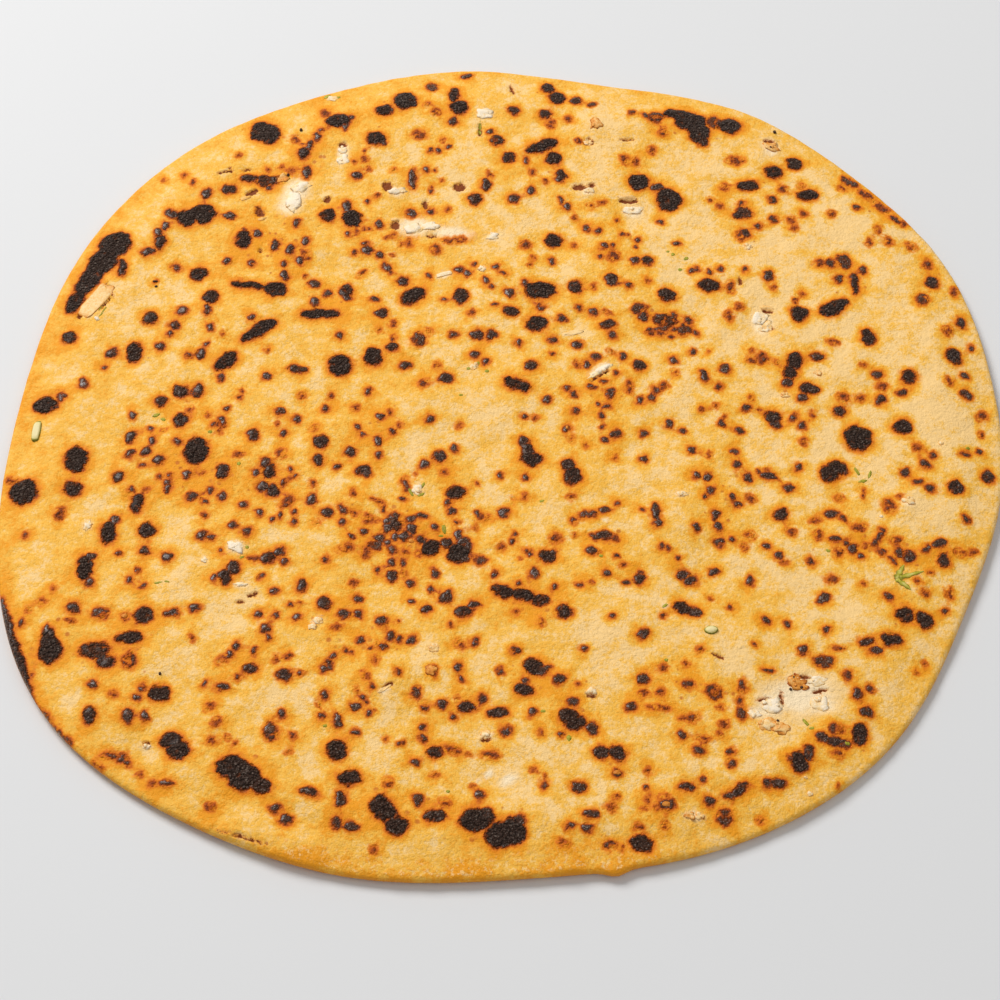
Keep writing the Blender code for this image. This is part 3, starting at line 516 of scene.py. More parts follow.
TEARS = (
    (110, 291, 12, 1.4, -62), (106, 303, 16, 1.2, 46), (79, 315, 5, 4), (243, 836, 46, 2.0, -17),
    (260, 212, 8, 11, 20), (327, 199, 8, 6, 60), (261, 251, 4, 4), (252, 193, 14, 5, 25), (343, 145, 8, 5),
    (512, 88, 3, 10, 10), (387, 186, 11, 9), (459, 187, 12, 8), (425, 203, 6, 7), (395, 224, 9, 9),
    (431, 235, 9, 3), (580, 188, 14, 6), (592, 186, 6, 5), (629, 200, 19, 5), (588, 143, 10, 6),
    (626, 141, 13, 2), (767, 311, 10, 4, -10), (767, 328, 12, 3), (740, 282, 4, 8), (769, 140, 12, 4),
    (281, 178, 10, 6, 30), (253, 594, 12, 3, 20), (240, 602, 8, 3), (388, 687, 13, 3, 30),
    (717, 657, 13, 3, -20), (803, 676, 18, 3, -10), (782, 697, 3, 16), (764, 699, 14, 3, 10),
    (820, 690, 14, 3, 15), (146, 742, 8, 4), (897, 579, 4, 4), (592, 697, 9, 3), (486, 739, 11, 3),
    (247, 170, 9, 2, 15), (226, 173, 16, 2, 8), (230, 169, 3, 2), (480, 131, 3, 12), (599, 377, 22, 2, 30),
)
BROWN_PATCHES = (
    (380, 420, 55, 48), (400, 540, 110, 70), (530, 600, 90, 36), (440, 470, 70, 34), (620, 540, 60, 30),
    (650, 320, 80, 30), (700, 125, 100, 30), (380, 110, 60, 26), (320, 150, 44, 40), (420, 220, 60, 34),
    (200, 480, 110, 60), (270, 240, 80, 60), (270, 180, 40, 16), (330, 310, 70, 30), (600, 395, 60, 36),
    (720, 500, 40, 70), (850, 545, 60, 40), (920, 560, 70, 26), (790, 370, 40, 50), (760, 600, 70, 40),
    (560, 700, 90, 60), (500, 830, 150, 36), (390, 810, 80, 50), (250, 780, 70, 50), (350, 640, 90, 60),
    (120, 650, 70, 40), (60, 640, 40, 60), (690, 690, 90, 50), (797, 683, 22, 16), (773, 727, 34, 18),
    (655, 804, 34, 20), (431, 672, 14, 12), (840, 740, 60, 30), (900, 610, 60, 34), (640, 700, 60, 40),
    (850, 270, 40, 40), (880, 205, 60, 22, -40), (930, 265, 20, 40, 30), (912, 246, 24, 16),
)
# The charred stretch of the left rim: column, row and width in pixels, from the far end to the near one
CHARRED_RIM = (
    (0, 598, 6), (4, 618, 8), (8, 640, 11), (15, 660, 13), (21, 678, 11), (27, 693, 7), (37, 708, 5),
    (49, 722, 5), (62, 734, 4), (74, 742, 3),
)
# Marks from one place to the next, and how much wider each is than the charred stretch there
RIM_MARK_STEPS = 3
RIM_MARK_SIZE = 1.5
# How dark a mark gets, from 0 for plain dough to 1 for char
CHARRED_DEPTH = 1.0
SMALL_DEPTH = 0.88
BROWNED_DEPTH = 0.70
SMALL_BROWNED_DEPTH = 0.56
# The marks' edges wander: noise length and how far
WANDER = ((3.2 * MM, 0.70 * MM, 61.0), (1.2 * MM, 0.34 * MM, 67.0))
SECOND_SEED = 1.7
WIDEST_DISTANCE = 6.0 * MM
# Within this share of its size, a place counts as a mark's middle
MARK_MIDDLE = 0.02
# A mark's size is its mean radius in these units, and counts up to the largest
SIZE_UNIT = 2.0 * MM
LARGEST_SIZE = 1.6
CROWD_REACH = 2.4 * MM
# How far the glow reaches, in mm: for the least mark, and more for each size up
GLOW_LEAST = 0.15
GLOW_MORE = 0.75


def photo_marks(rows, depth=1.0):
    """Each mark's x, y, half length, half width, turn and depth on the bread, in metres and radians."""
    marks = []
    for column, row, wide, *rest in rows:
        high = rest[0] if rest else wide
        lean = math.radians(rest[1]) if len(rest) > 1 else 0.0
        x, y = on_bread(column, row, BODY_THICKNESS)
        x2, y2 = on_bread(column + math.cos(lean), row - math.sin(lean), BODY_THICKNESS)
        x3, y3 = on_bread(column - math.sin(lean), row - math.cos(lean), BODY_THICKNESS)
        length = wide / 2.0 * math.hypot(x2 - x, y2 - y)
        width = high / 2.0 * math.hypot(x3 - x, y3 - y)
        marks.append((x, y, length, width, math.atan2(y2 - y, x2 - x), depth))
    return marks


def rim_marks():
    """The charred rim as a chain of overlapping round marks."""
    rows = []
    for (x1, y1, w1), (x2, y2, w2) in zip(CHARRED_RIM, CHARRED_RIM[1:]):
        for step in range(RIM_MARK_STEPS):
            share = step / RIM_MARK_STEPS
            wide = w1 + (w2 - w1) * share
            rows.append((x1 + (x2 - x1) * share, y1 + (y2 - y1) * share, wide * RIM_MARK_SIZE))
    return photo_marks(rows, CHARRED_DEPTH)


top_marks = photo_marks(CHARRED, CHARRED_DEPTH) + photo_marks(SMALL_CHARRED, SMALL_DEPTH)
top_marks += photo_marks(BROWNED, BROWNED_DEPTH) + photo_marks(SMALL_BROWNED, SMALL_BROWNED_DEPTH)
top_marks += rim_marks()
tears = photo_marks(TEARS)


def wander(x, y):
    """The same places, pushed about so that round marks get uneven edges."""
    for length, far, offset in WANDER:
        x = x + far * uneven(x, y, length, offset)
        y = y + far * uneven(x, y, length, offset + SECOND_SEED)
    return x, y


def mark_fields(x, y, marks):
    """At each place: distance to the nearest mark's edge (less than 0 inside), its depth, how far its glow
    reaches in mm, and how crowded the place is."""
    nearest = np.full(len(x), WIDEST_DISTANCE)
    depth = np.zeros(len(x))
    glow = np.zeros(len(x))
    crowd = np.zeros(len(x))
    for mark_x, mark_y, length, width, turn, mark_depth in marks:
        reach = max(length, width) + WIDEST_DISTANCE
        near = np.flatnonzero((abs(x - mark_x) < reach) & (abs(y - mark_y) < reach))
        along = (x[near] - mark_x) * math.cos(turn) + (y[near] - mark_y) * math.sin(turn)
        aside = (y[near] - mark_y) * math.cos(turn) - (x[near] - mark_x) * math.sin(turn)
        ratio = np.hypot(along / length, aside / width)
        slope = np.hypot(along / length**2, aside / width**2)
        to_edge = ratio * (ratio - 1.0) / np.maximum(slope, 1.0)
        distance = np.where(ratio > MARK_MIDDLE, to_edge, -min(length, width))
        closer = distance < nearest[near]
        nearest[near[closer]] = distance[closer]
        size = min(math.sqrt(length * width) / SIZE_UNIT, LARGEST_SIZE)
        depth[near[closer]] = mark_depth
        glow[near[closer]] = GLOW_LEAST + GLOW_MORE * size * mark_depth
        crowd[near] += size * mark_depth * np.exp(-((np.maximum(distance, 0.0) / CROWD_REACH) ** 2))
    return nearest, depth, glow, crowd


def patches(x, y, rows):
    """How much of a patch there is at each place, 1 in a patch's middle and 0 well outside them all."""
    found = np.zeros(len(x))
    for place_x, place_y, length, width, turn, _ in photo_marks(rows):
        along = (x - place_x) * math.cos(turn) + (y - place_y) * math.sin(turn)
        aside = (y - place_y) * math.cos(turn) - (x - place_x) * math.sin(turn)
        found = np.maximum(found, np.exp(-((along / length) ** 2 + (aside / width) ** 2)))
    return found


# The rolled dough: its mesh
# One closed skin: the top, the rounded rim and the underside, in a six-sided lattice of triangles that is
# split more finely at the scorched marks, where the skin has blistered.
# Edges this near a mark's edge are split once, and the nearest ones twice
FINE_NEAR = 0.90 * MM
FINEST_NEAR = 0.30 * MM
BLISTER_HEIGHT = 0.38 * MM
BLISTER_REACH = 1.1 * MM
BLISTER_START = 0.2
TEAR_DEPTH = 0.55 * MM
TEAR_SLOPE = 0.30 * MM
TEAR_LIP = 0.16 * MM
TEAR_WANDER = 0.50 * MM
TEAR_GRAIN = 0.8 * MM
TEAR_SEED = 79.0
CRUST_WAVES = ((1.5 * MM, 0.16 * MM, 71.0), (0.8 * MM, 0.12 * MM, 73.0))
# The underside's dimples die out towards its edge
UNDER_FADE = 4.0


def lattice(points, rings, side):
    """Adds a six-sided lattice over a disc of radius 1, as x, y, side, and returns its rings of numbers."""
    found = []
    for ring in range(rings + 1):
        count = max(SIDES * ring, 1)
        start = len(points)
        for step in range(count):
            angle = math.tau * step / count
            points.append((ring / rings * math.cos(angle), ring / rings * math.sin(angle), side))
        found.append(list(range(start, start + count)))
    return found


def lattice_faces(rings):
    faces = []
    for size in range(1, len(rings)):
        outer = rings[size]
        inner = rings[size - 1]
        for side in range(SIDES):
            for step in range(size):
                a = outer[(side * size + step) % len(outer)]
                b = outer[(side * size + step + 1) % len(outer)]
                c = inner[(side * (size - 1) + step) % len(inner)]
                faces.append((a, b, c))
                if step < size - 1:
                    d = inner[(side * (size - 1) + step + 1) % len(inner)]
                    faces.append((b, d, c))
    return faces


def flat_bread():
    """Points as shares of the way out in x and y, and 0 on the top to 1 on the underside; and triangles."""
    points = []
    top = lattice(points, TOP_RINGS, 0.0)
    faces = lattice_faces(top)
    upper = top[-1]
    for step in range(1, RIM_STEPS + 1):
        start = len(points)
        points.extend((points[i][0], points[i][1], step / RIM_STEPS) for i in top[-1])
        lower = list(range(start, len(points)))
        for index, point in enumerate(upper):
            after = (index + 1) % len(upper)
            faces.append((point, lower[index], upper[after]))
            faces.append((upper[after], lower[index], lower[after]))
        upper = lower
    under = lattice(points, UNDER_RINGS, 1.0)
    faces.extend(tuple(reversed(face)) for face in lattice_faces(under[:-1]))
    last_start = under[-1][0]
    del points[last_start:]
    coarse = under[-2]
    # The underside's last ring is the rim's own lowest one, with more points than the ring inside it
    inner_count = len(coarse)
    outer_count = len(upper)
    i = 0
    o = 0
    while i < inner_count or o < outer_count:
        a = coarse[i % inner_count]
        b = upper[o % outer_count]
        if o < outer_count and (i >= inner_count or (o + 1) / outer_count <= (i + 1) / inner_count):
            faces.append((a, upper[(o + 1) % outer_count], b))
            o += 1
        else:
            faces.append((a, coarse[(i + 1) % inner_count], b))
            i += 1
    return np.array(points), faces


def split(points, faces, wanted):
    """Splits each edge that wanted() picks at its middle, and each triangle that has such edges in 2 to 4."""
    edges = sorted({(min(a, b), max(a, b)) for face in faces for a, b in zip(face, face[1:] + face[:1])})
    ends = np.array(edges)
    middles = (points[ends[:, 0]] + points[ends[:, 1]]) / 2.0
    chosen = np.flatnonzero(wanted(middles))
    middle_of = {edges[e]: len(points) + n for n, e in enumerate(chosen)}
    points = np.vstack([points, middles[chosen]])
    finer = []
    for a, b, c in faces:
        ab = middle_of.get((min(a, b), max(a, b)))
        bc = middle_of.get((min(b, c), max(b, c)))
        ca = middle_of.get((min(c, a), max(c, a)))
        while ab is None and (bc is not None or ca is not None):
            a, b, c, ab, bc, ca = b, c, a, bc, ca, ab
        if ab is None:
            finer.append((a, b, c))
        elif bc is not None and ca is not None:
            finer += [(a, ab, ca), (ab, b, bc), (ca, bc, c), (ab, bc, ca)]
        elif bc is not None:
            finer += [(ab, b, bc), (a, ab, bc), (a, bc, c)]
        elif ca is not None:
            finer += [(a, ab, ca), (ab, b, ca), (b, c, ca)]
        else:
            finer += [(a, ab, c), (ab, b, c)]
    return points, finer


def spread(points):
    """Where the flat bread's points lie: angle, distance out, x and y in metres."""
    angle = np.arctan2(points[:, 1], points[:, 0])
    share = np.minimum(np.hypot(points[:, 0], points[:, 1]), 1.0)
    edge = rim_radius(angle) - RIM_THICKNESS / 2.0
    out = share * edge
    turn = math.pi * (0.5 - points[:, 2])
    out = out + np.where(points[:, 2] % 1.0 > 0.0, RIM_THICKNESS / 2.0 * np.cos(turn), 0.0)
    return angle, out, out * np.cos(angle), out * np.sin(angle)


def near_marks(reach):
    """A test that picks places on the top or the rim that are this near to a mark or a tear."""

    def wanted(middles):
        _, _, x, y = spread(middles)
        on_top = middles[:, 2] < 1.0
        distance, _, _, _ = mark_fields(*wander(x + SHIFT_X, y + SHIFT_Y), top_marks)
        torn, _, _, _ = mark_fields(x + SHIFT_X, y + SHIFT_Y, tears)
        return on_top & (np.minimum(distance, torn) < reach)

    return wanted


def bread_mesh():
    """The bread's mesh with the fields that its finish reads."""
    points, faces = flat_bread()
    points, faces = split(points, faces, near_marks(FINE_NEAR))
    points, faces = split(points, faces, near_marks(FINEST_NEAR))
    angle, out, x, y = spread(points)
    side = points[:, 2]
    radius = rim_radius(angle)
    edge = radius - RIM_THICKNESS / 2.0
    inner = np.minimum(out, edge)
    share = inner / edge
    top_x = inner * np.cos(angle)
    top_y = inner * np.sin(angle)
    placed_x = x + SHIFT_X
    placed_y = y + SHIFT_Y
    distance, depth, glow, crowd = mark_fields(*wander(placed_x, placed_y), top_marks)
    top = top_height(top_x, top_y)
    for length, size, offset in SKIN_WAVES:
        top = top + size * uneven(x, y, length, offset)
    inset = np.maximum(radius - out, 0.0)
    grainy = between(angle, GRAINY_START, GRAINY_END, GRAINY_FADE) * smooth(1.0 - inset / GRAINY_WIDTH)
    for length, size, offset in GRAINY_WAVES:
        top = top + grainy * size * abs(uneven(x, y, length, offset))
    inside = smooth(-distance / BLISTER_REACH + BLISTER_START)
    top = top + BLISTER_HEIGHT * depth * inside
    for length, size, offset in CRUST_WAVES:
        top = top + inside * size * uneven(x, y, length, offset)
    torn, _, _, _ = mark_fields(placed_x, placed_y, tears)
    torn = torn + TEAR_WANDER * uneven(x, y, TEAR_GRAIN, TEAR_SEED)
    top = top - TEAR_DEPTH * smooth(0.5 - torn / TEAR_SLOPE)
    top = top + TEAR_LIP * np.exp(-(((torn - TEAR_SLOPE) / TEAR_SLOPE) ** 2))
    bottom = rim_lift(angle, inner / radius)
    for length, size, offset in UNDER_WAVES:
        dimples = 0.5 + 0.5 * uneven(x, y, length, offset)
        bottom = bottom + size * smooth(UNDER_FADE - UNDER_FADE * share) * dimples
    turn = math.pi * (0.5 - side)
    z = (top + bottom) / 2.0 + (top - bottom) / 2.0 * np.sin(turn)
    mesh = bpy.data.meshes.new("paratha_dough")
    mesh.from_pydata(np.column_stack([placed_x, placed_y, z]).tolist(), [], faces)
    warm_side = RIM_WARMTH + RIM_WARMTH_MORE * smooth(0.5 + np.cos(angle - math.radians(WARM_RIM_ANGLE)))
    warm_rim = warm_side * smooth(1.0 - inset / WARM_RIM_WIDTH)
    fields = {
        "mark": distance / MM,
        "depth": depth,
        "glow": glow,
        "crowd": crowd,
        "under": side,
        "torn": torn / MM,
        "white": patches(placed_x, placed_y, PALE_PATCHES) * (side < 0.5),
        "brown": patches(placed_x, placed_y, BROWN_PATCHES) * (side < 0.5),
        "warm": warm_rim + GRAINY_WARMTH * grainy - WARM_LEFT * placed_x / MEAN_RADIUS,
        "grainy": grainy,
    }
    for name, values in fields.items():
        attribute = mesh.attributes.new(name, "FLOAT", "POINT")
        attribute.data.foreach_set("value", values.astype(np.float32))
    return mesh


# The rolled dough: its finish
# Wholewheat dough, pale where it only dried, yellow and orange where oil and heat browned it. A scorched mark
# is a black crust with a red-brown edge and an orange glow, glossy when small and dull when large.
PALE_DOUGH = linear(252, 209, 138)
YELLOW_DOUGH = linear(249, 188, 70)
ORANGE_DOUGH = linear(243, 158, 18)
FLOUR = linear(254, 222, 160)
PALE_SKIN = linear(255, 229, 186)
SPECK = linear(196, 98, 20)
RIM_TAN = linear(222, 146, 56)
TORN_EDGE = linear(206, 124, 44)
# The inside of a torn hole: the crumb's own brown, darkened further as painted shade
SHADED_TORN_INSIDE = linear(134, 64, 8)
# Painted glints: grey specks on the crust that stand for the sheen of the light on it
PAINTED_GLINT = linear(160, 142, 128)
# Painted light: the tops of the crust's beads are painted lighter than the hollows between them
LIT_BEAD_TOP = linear(124, 86, 60)
CHAR_GREY = linear(58, 44, 36)
# The crust and its rings, by distance in mm from a mark's edge: from inside it to the plain dough outside
HEAT_START = -0.6
HEAT_END = 2.2
HEAT_STOPS = (
    (-0.34, linear(70, 39, 22)),
    (-0.20, linear(84, 44, 16)),
    (-0.08, linear(104, 50, 10)),
    (0.06, linear(134, 56, 2)),
    (0.24, linear(186, 84, 0)),
    (0.48, linear(222, 118, 0)),
    (0.90, linear(238, 140, 6)),
    (1.60, linear(246, 166, 34)),
)
# How large the patterns in the dough and in the crust are
DRIFT_SIZE = 17.0 * MM
CLOUD_SIZE = 4.2 * MM
GRAIN_SIZE = 0.95 * MM
WRINKLE_SIZE = 3.0 * MM
FLECK_SIZE = 1.1 * MM
SPECK_SPACING = 1.9 * MM
BEAD_SIZE = 1.35 * MM
FINE_BEAD_SIZE = 0.62 * MM
RAGGED_SIZE = 1.6 * MM
SPARED_SIZE = 2.4 * MM
# Size of the painted glint specks on the crust
GLINT_SIZE = 0.55 * MM
UNDER_SPOT_SPACING = 7.0 * MM
# How much each of them, and each field of the mesh, warms the dough's colour
DRIFT_WARMTH = 0.75
CLOUD_WARMTH = 1.1
GRAIN_COLOUR = 0.95
CROWD_WARMTH = 0.05
BROWN_WARMTH = 0.24
COOLER = -0.03
# How far from the top's marks the underside is, in mm, so that they don't show through
UNDER_AWAY = 9.0
# Marks end a little inside the edge that was read from the photo, in mm, because their glow is dark too
MARK_SHRINK = 0.16
GLOW_LEAST_REACH = 1.15
GLOW_START = 0.45
# Gloss, and how deep the finest relief is
DOUGH_ROUGHNESS = 0.62
GLOSSY_CRUST = 0.20
MATTE_CRUST = 0.38
DOUGH_SPECULAR = 0.26
CRUST_COAT = 0.36
COAT_ROUGHNESS = 0.22
FINE_RELIEF = 0.60 * MM


class Finish:
    """A material's node tree, with one short call for each kind of node."""

    def __init__(self, name):
        self.material = bpy.data.materials.new(name)
        self.material.use_nodes = True
        self.tree = self.material.node_tree
        self.shader = self.tree.nodes["Principled BSDF"]
        self.place = self.tree.nodes.new("ShaderNodeTexCoord").outputs["Object"]

    def set(self, socket, value):
        if isinstance(value, bpy.types.NodeSocket):
            self.tree.links.new(value, socket)
        else:
            socket.default_value = value

    def field(self, name):
        node = self.tree.nodes.new("ShaderNodeAttribute")
        node.attribute_name = name
        return node.outputs["Fac"]

    def math(self, operation, first, second):
        node = self.tree.nodes.new("ShaderNodeMath")
        node.operation = operation
        self.set(node.inputs[0], first)
        self.set(node.inputs[1], second)
        return node.outputs[0]

    def add(self, first, *others):
        for other in others:
            first = self.math("ADD", first, other)
        return first

    def less(self, first, second):
        return self.math("SUBTRACT", first, second)

    def times(self, first, *others):
        for other in others:
            first = self.math("MULTIPLY", first, other)
        return first

    def span(self, value, low, high, new_low=0.0, new_high=1.0):
        """value taken from low..high to new_low..new_high, smoothly, and held at the ends."""
        node = self.tree.nodes.new("ShaderNodeMapRange")
        node.interpolation_type = "SMOOTHSTEP"
        for socket, given in zip(node.inputs, (value, low, high, new_low, new_high)):
            self.set(socket, given)
        return node.outputs["Result"]

    def noise(self, size, detail=2.0, roughness=0.5):
        node = self.tree.nodes.new("ShaderNodeTexNoise")
        self.set(node.inputs["Vector"], self.place)
        node.inputs["Scale"].default_value = 1.0 / size
        node.inputs["Detail"].default_value = detail
        node.inputs["Roughness"].default_value = roughness
        return node.outputs["Fac"]

    def cells(self, size):
        """Cells of about this size: the distance from each one's middle, and a random value for each."""
        node = self.tree.nodes.new("ShaderNodeTexVoronoi")
        self.set(node.inputs["Vector"], self.place)
        node.inputs["Scale"].default_value = 1.0 / size
        return node.outputs["Distance"], node.outputs["Color"]

    def mix(self, share, first, second):
        node = self.tree.nodes.new("ShaderNodeMix")
        node.data_type = "RGBA"
        self.set(node.inputs[0], share)
        self.set(node.inputs[6], first)
        self.set(node.inputs[7], second)
        return node.outputs[2]

    def ramp(self, value, stops):
        node = self.tree.nodes.new("ShaderNodeValToRGB")
        self.set(node.inputs[0], value)
        steps = node.color_ramp.elements
        while len(steps) < len(stops):
            steps.new(0.5)
        for step, (where, colour) in zip(steps, stops):
            step.position = where
            step.color = colour
        return node.outputs["Color"]

    def bump(self, height, distance, strength=1.0):
        node = self.tree.nodes.new("ShaderNodeBump")
        self.set(node.inputs["Height"], height)
        node.inputs["Distance"].default_value = distance
        node.inputs["Strength"].default_value = strength
        return node.outputs["Normal"]


def marks_of_both_sides(finish, under):
    """Distance in mm from the edge of the top's nearest mark, and the same with the underside's spots."""
    away, chance = finish.cells(UNDER_SPOT_SPACING)
    spot = finish.less(finish.times(away, UNDER_SPOT_SPACING / MM), finish.span(chance, 0.15, 1.0, -1.2, 2.4))
    upper = finish.add(finish.field("mark"), finish.times(under, UNDER_AWAY))
    lower = finish.add(spot, finish.span(under, 0.0, 1.0, UNDER_AWAY, 0.0))
    return upper, finish.math("MINIMUM", upper, lower)


def mottled(finish, mark, cloud, grain):
    """Plain dough: pale drifts, yellow and orange, paler over the filling, floury in the near rim's grain."""
    drift = finish.times(finish.noise(DRIFT_SIZE, 2.0, 0.6), DRIFT_WARMTH)
    warmth = finish.add(drift, finish.times(cloud, CLOUD_WARMTH), finish.times(grain, GRAIN_COLOUR))
    warmth = finish.add(warmth, finish.times(finish.field("crowd"), CROWD_WARMTH))
    halo = finish.times(finish.span(mark, 0.4, 3.0, 1.0, 0.0), finish.span(cloud, 0.36, 0.64, 0.10, 0.46))
    warmth = finish.add(warmth, halo, COOLER, finish.times(finish.field("brown"), BROWN_WARMTH))
    warmth = finish.add(warmth, finish.field("warm"))
    colour = finish.mix(finish.span(warmth, 1.20, 1.54), PALE_DOUGH, YELLOW_DOUGH)
    colour = finish.mix(finish.span(warmth, 1.50, 1.90), colour, ORANGE_DOUGH)
    fray = finish.times(finish.less(grain, 0.5), 0.9)
    colour = finish.mix(finish.span(finish.add(finish.field("white"), fray), 0.18, 0.85), colour, PALE_SKIN)
    fleck = finish.span(finish.noise(FLECK_SIZE, 3.0, 0.7), 0.52, 0.64)
    on_top = finish.span(finish.field("under"), 0.0, 0.18, 0.6, 0.0)
    return finish.mix(finish.times(fleck, finish.field("grainy"), on_top), colour, FLOUR)


def specked(finish, colour):
    """Brown specks, more of them where the marks crowd."""
    away, chance = finish.cells(SPECK_SPACING)
    wanted = finish.add(finish.times(finish.field("crowd"), 0.15), finish.times(finish.field("brown"), 0.42))
    size = finish.span(finish.less(wanted, finish.times(chance, 0.9)), -0.12, 0.30, 0.0, 0.36)
    speck = finish.span(finish.less(away, size), -0.14, 0.10, 0.75, 0.0)
    return finish.mix(finish.times(speck, finish.span(size, 0.01, 0.05)), colour, SPECK)


def scorched(finish, colour, mark, depth, grain, beads):
    """The marks: their edges follow the crust's beads, and paler ones show dark beads in brown. The crust's
    bead tops are painted lighter, and grey specks on it are painted glints. Gives the colour and how
    charred each place is."""
    ragged = finish.times(finish.less(finish.noise(RAGGED_SIZE, 2.0, 0.6), 0.5), 1.3)
    fuzz = finish.less(finish.times(grain, 0.3), finish.times(beads, 0.5))
    heat = finish.add(mark, MARK_SHRINK, ragged, fuzz)
    spared = finish.span(finish.noise(SPARED_SIZE, 1.0), 0.50, 0.68, 0.0, 0.34)
    paler = finish.add(finish.less(1.0, depth), spared)
    paler = finish.less(finish.times(paler, 1.5), 0.45)
    paler = finish.less(paler, finish.times(beads, 0.55))
    paler = finish.add(paler, finish.span(mark, -0.9, 0.0, -0.22, 0.12))
    heat = finish.math("MAXIMUM", heat, paler)
    width = HEAT_END - HEAT_START
    stops = [((where - HEAT_START) / width, shade) for where, shade in HEAT_STOPS]
    burnt = finish.ramp(finish.math("DIVIDE", finish.less(heat, HEAT_START), width), stops)
    reach = finish.add(finish.field("glow"), GLOW_LEAST_REACH)
    colour = finish.mix(finish.span(heat, GLOW_START, reach, 1.0, 0.0), colour, burnt)
    char = finish.span(heat, -0.22, 0.04, 1.0, 0.0)
    # Painted light and shade: the crust's bead tops lighter, the hollows between them left dark
    colour = finish.mix(finish.times(char, finish.span(beads, 0.08, 0.36, 0.0, 0.65)), colour, LIT_BEAD_TOP)
    large = finish.span(finish.field("glow"), 0.75, 1.30, 0.0, 0.70)
    colour = finish.mix(finish.times(char, large), colour, CHAR_GREY)
    # Painted highlight: grey glint specks over the crust
    glint = finish.span(finish.noise(GLINT_SIZE, 1.0), 0.56, 0.70, 0.0, 0.40)
    return finish.mix(finish.times(glint, char), colour, PAINTED_GLINT), char


def browner_rim(finish, colour, cloud):
    """The rim's side, between the top and the underside, is a little browner."""
    side = finish.field("under")
    side = finish.times(finish.span(side, 0.20, 0.50), finish.span(side, 0.60, 0.95, 1.0, 0.0))
    return finish.mix(finish.times(side, finish.span(cloud, 0.35, 0.65, 0.15, 0.7)), colour, RIM_TAN)


def torn_open(finish, colour, grain):
    """Torn holes: brown crumb, darkened further inside with painted shade, with toasted edges."""
    torn = finish.add(finish.field("torn"), finish.times(finish.less(grain, 0.5), 1.6))
    colour = finish.mix(finish.span(torn, 0.0, 0.35, 0.65, 0.0), colour, TORN_EDGE)
    return finish.mix(finish.span(torn, -0.18, 0.02, 1.0, 0.0), colour, SHADED_TORN_INSIDE)


def fine_relief(finish, upper_mark, grain, beads, matte):
    """Beads in the crust, wrinkles and grain in the skin."""
    bead_height = finish.span(matte, 0.0, 1.0, 1.4, 4.8)
    crust = finish.times(beads, finish.span(upper_mark, -0.25, 0.20, bead_height, 0.10))
    wrinkles = finish.times(finish.noise(WRINKLE_SIZE, 3.0, 0.6), 0.9)
    return finish.bump(finish.add(wrinkles, finish.times(grain, 0.60), crust), FINE_RELIEF)


def dough_finish():
    finish = Finish("griddled dough")
    under = finish.span(finish.field("under"), 0.55, 0.75)
    upper_mark, mark = marks_of_both_sides(finish, under)
    depth = finish.math("MAXIMUM", finish.field("depth"), under)
    cloud = finish.noise(CLOUD_SIZE, 4.0, 0.72)
    grain = finish.noise(GRAIN_SIZE, 3.0, 0.8)
    coarse = finish.times(finish.cells(BEAD_SIZE)[0], 0.5)
    fine = finish.times(finish.cells(FINE_BEAD_SIZE)[0], 0.5)
    beads = finish.less(0.46, finish.add(coarse, fine))

    colour = specked(finish, mottled(finish, mark, cloud, grain))
    colour, char = scorched(finish, colour, mark, depth, grain, beads)
    colour = torn_open(finish, browner_rim(finish, colour, cloud), grain)
    finish.set(finish.shader.inputs["Base Color"], colour)

    matte = finish.span(finish.field("glow"), 0.45, 1.25)
    finish.set(finish.shader.inputs["Normal"], fine_relief(finish, upper_mark, grain, beads, matte))
    crust_roughness = finish.span(matte, 0.0, 1.0, GLOSSY_CRUST, MATTE_CRUST)
    roughness = finish.span(char, 0.0, 1.0, DOUGH_ROUGHNESS, crust_roughness)
    finish.set(finish.shader.inputs["Roughness"], roughness)
    finish.shader.inputs["Specular IOR Level"].default_value = DOUGH_SPECULAR
    coat = finish.times(char, finish.span(matte, 0.0, 1.0, CRUST_COAT, 0.0))
    finish.set(finish.shader.inputs["Coat Weight"], coat)
    finish.shader.inputs["Coat Roughness"].default_value = COAT_ROUGHNESS
    return finish.material


dough_mesh = bread_mesh()
dough_mesh.materials.append(dough_finish())
dough_mesh.shade_smooth()
dough = bpy.data.objects.new("paratha_dough", dough_mesh)
bpy.context.scene.collection.objects.link(dough)
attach(dough, "root")
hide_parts("paratha")

# Small pieces on the dough: how they are made and laid
# Each piece starts as a ball that is stretched, made lumpy and set into the skin under it. Pieces of one kind
# are gathered in one mesh, with a shade from 0 to 1 at each point that their finish reads.
BALL_STEPS = 3
BEAD_STEPS = 2
PIECE_SINK = 0.35
SKY_HIGH = 0.05
# A piece is lumpy on two scales, as turns of noise over the ball
COARSE_LUMPS = 1.7
FINE_LUMPS = 4.1
PIECE_ROUGHNESS = 0.5
PIECE_SPECULAR = 0.25

skin_points = [vertex.co.copy() for vertex in dough_mesh.vertices]
skin_tree = BVHTree.FromPolygons(skin_points, [tuple(face.vertices) for face in dough_mesh.polygons])


def skin_at(x, y):
    """The skin's height there."""
    place = skin_tree.ray_cast(Vector((x, y, SKY_HIGH)), Vector((0.0, 0.0, -1.0)))[0]
    return place.z if place else RIM_THICKNESS


def ball(steps):
    shape = bmesh.new()
    bmesh.ops.create_icosphere(shape, subdivisions=steps, radius=1.0)
    shape.verts.ensure_lookup_table()
    points = [vertex.co.copy() for vertex in shape.verts]
    faces = [tuple(vertex.index for vertex in face.verts) for face in shape.faces]
    shape.free()
    return points, faces


BALLS = {BALL_STEPS: ball(BALL_STEPS), BEAD_STEPS: ball(BEAD_STEPS)}


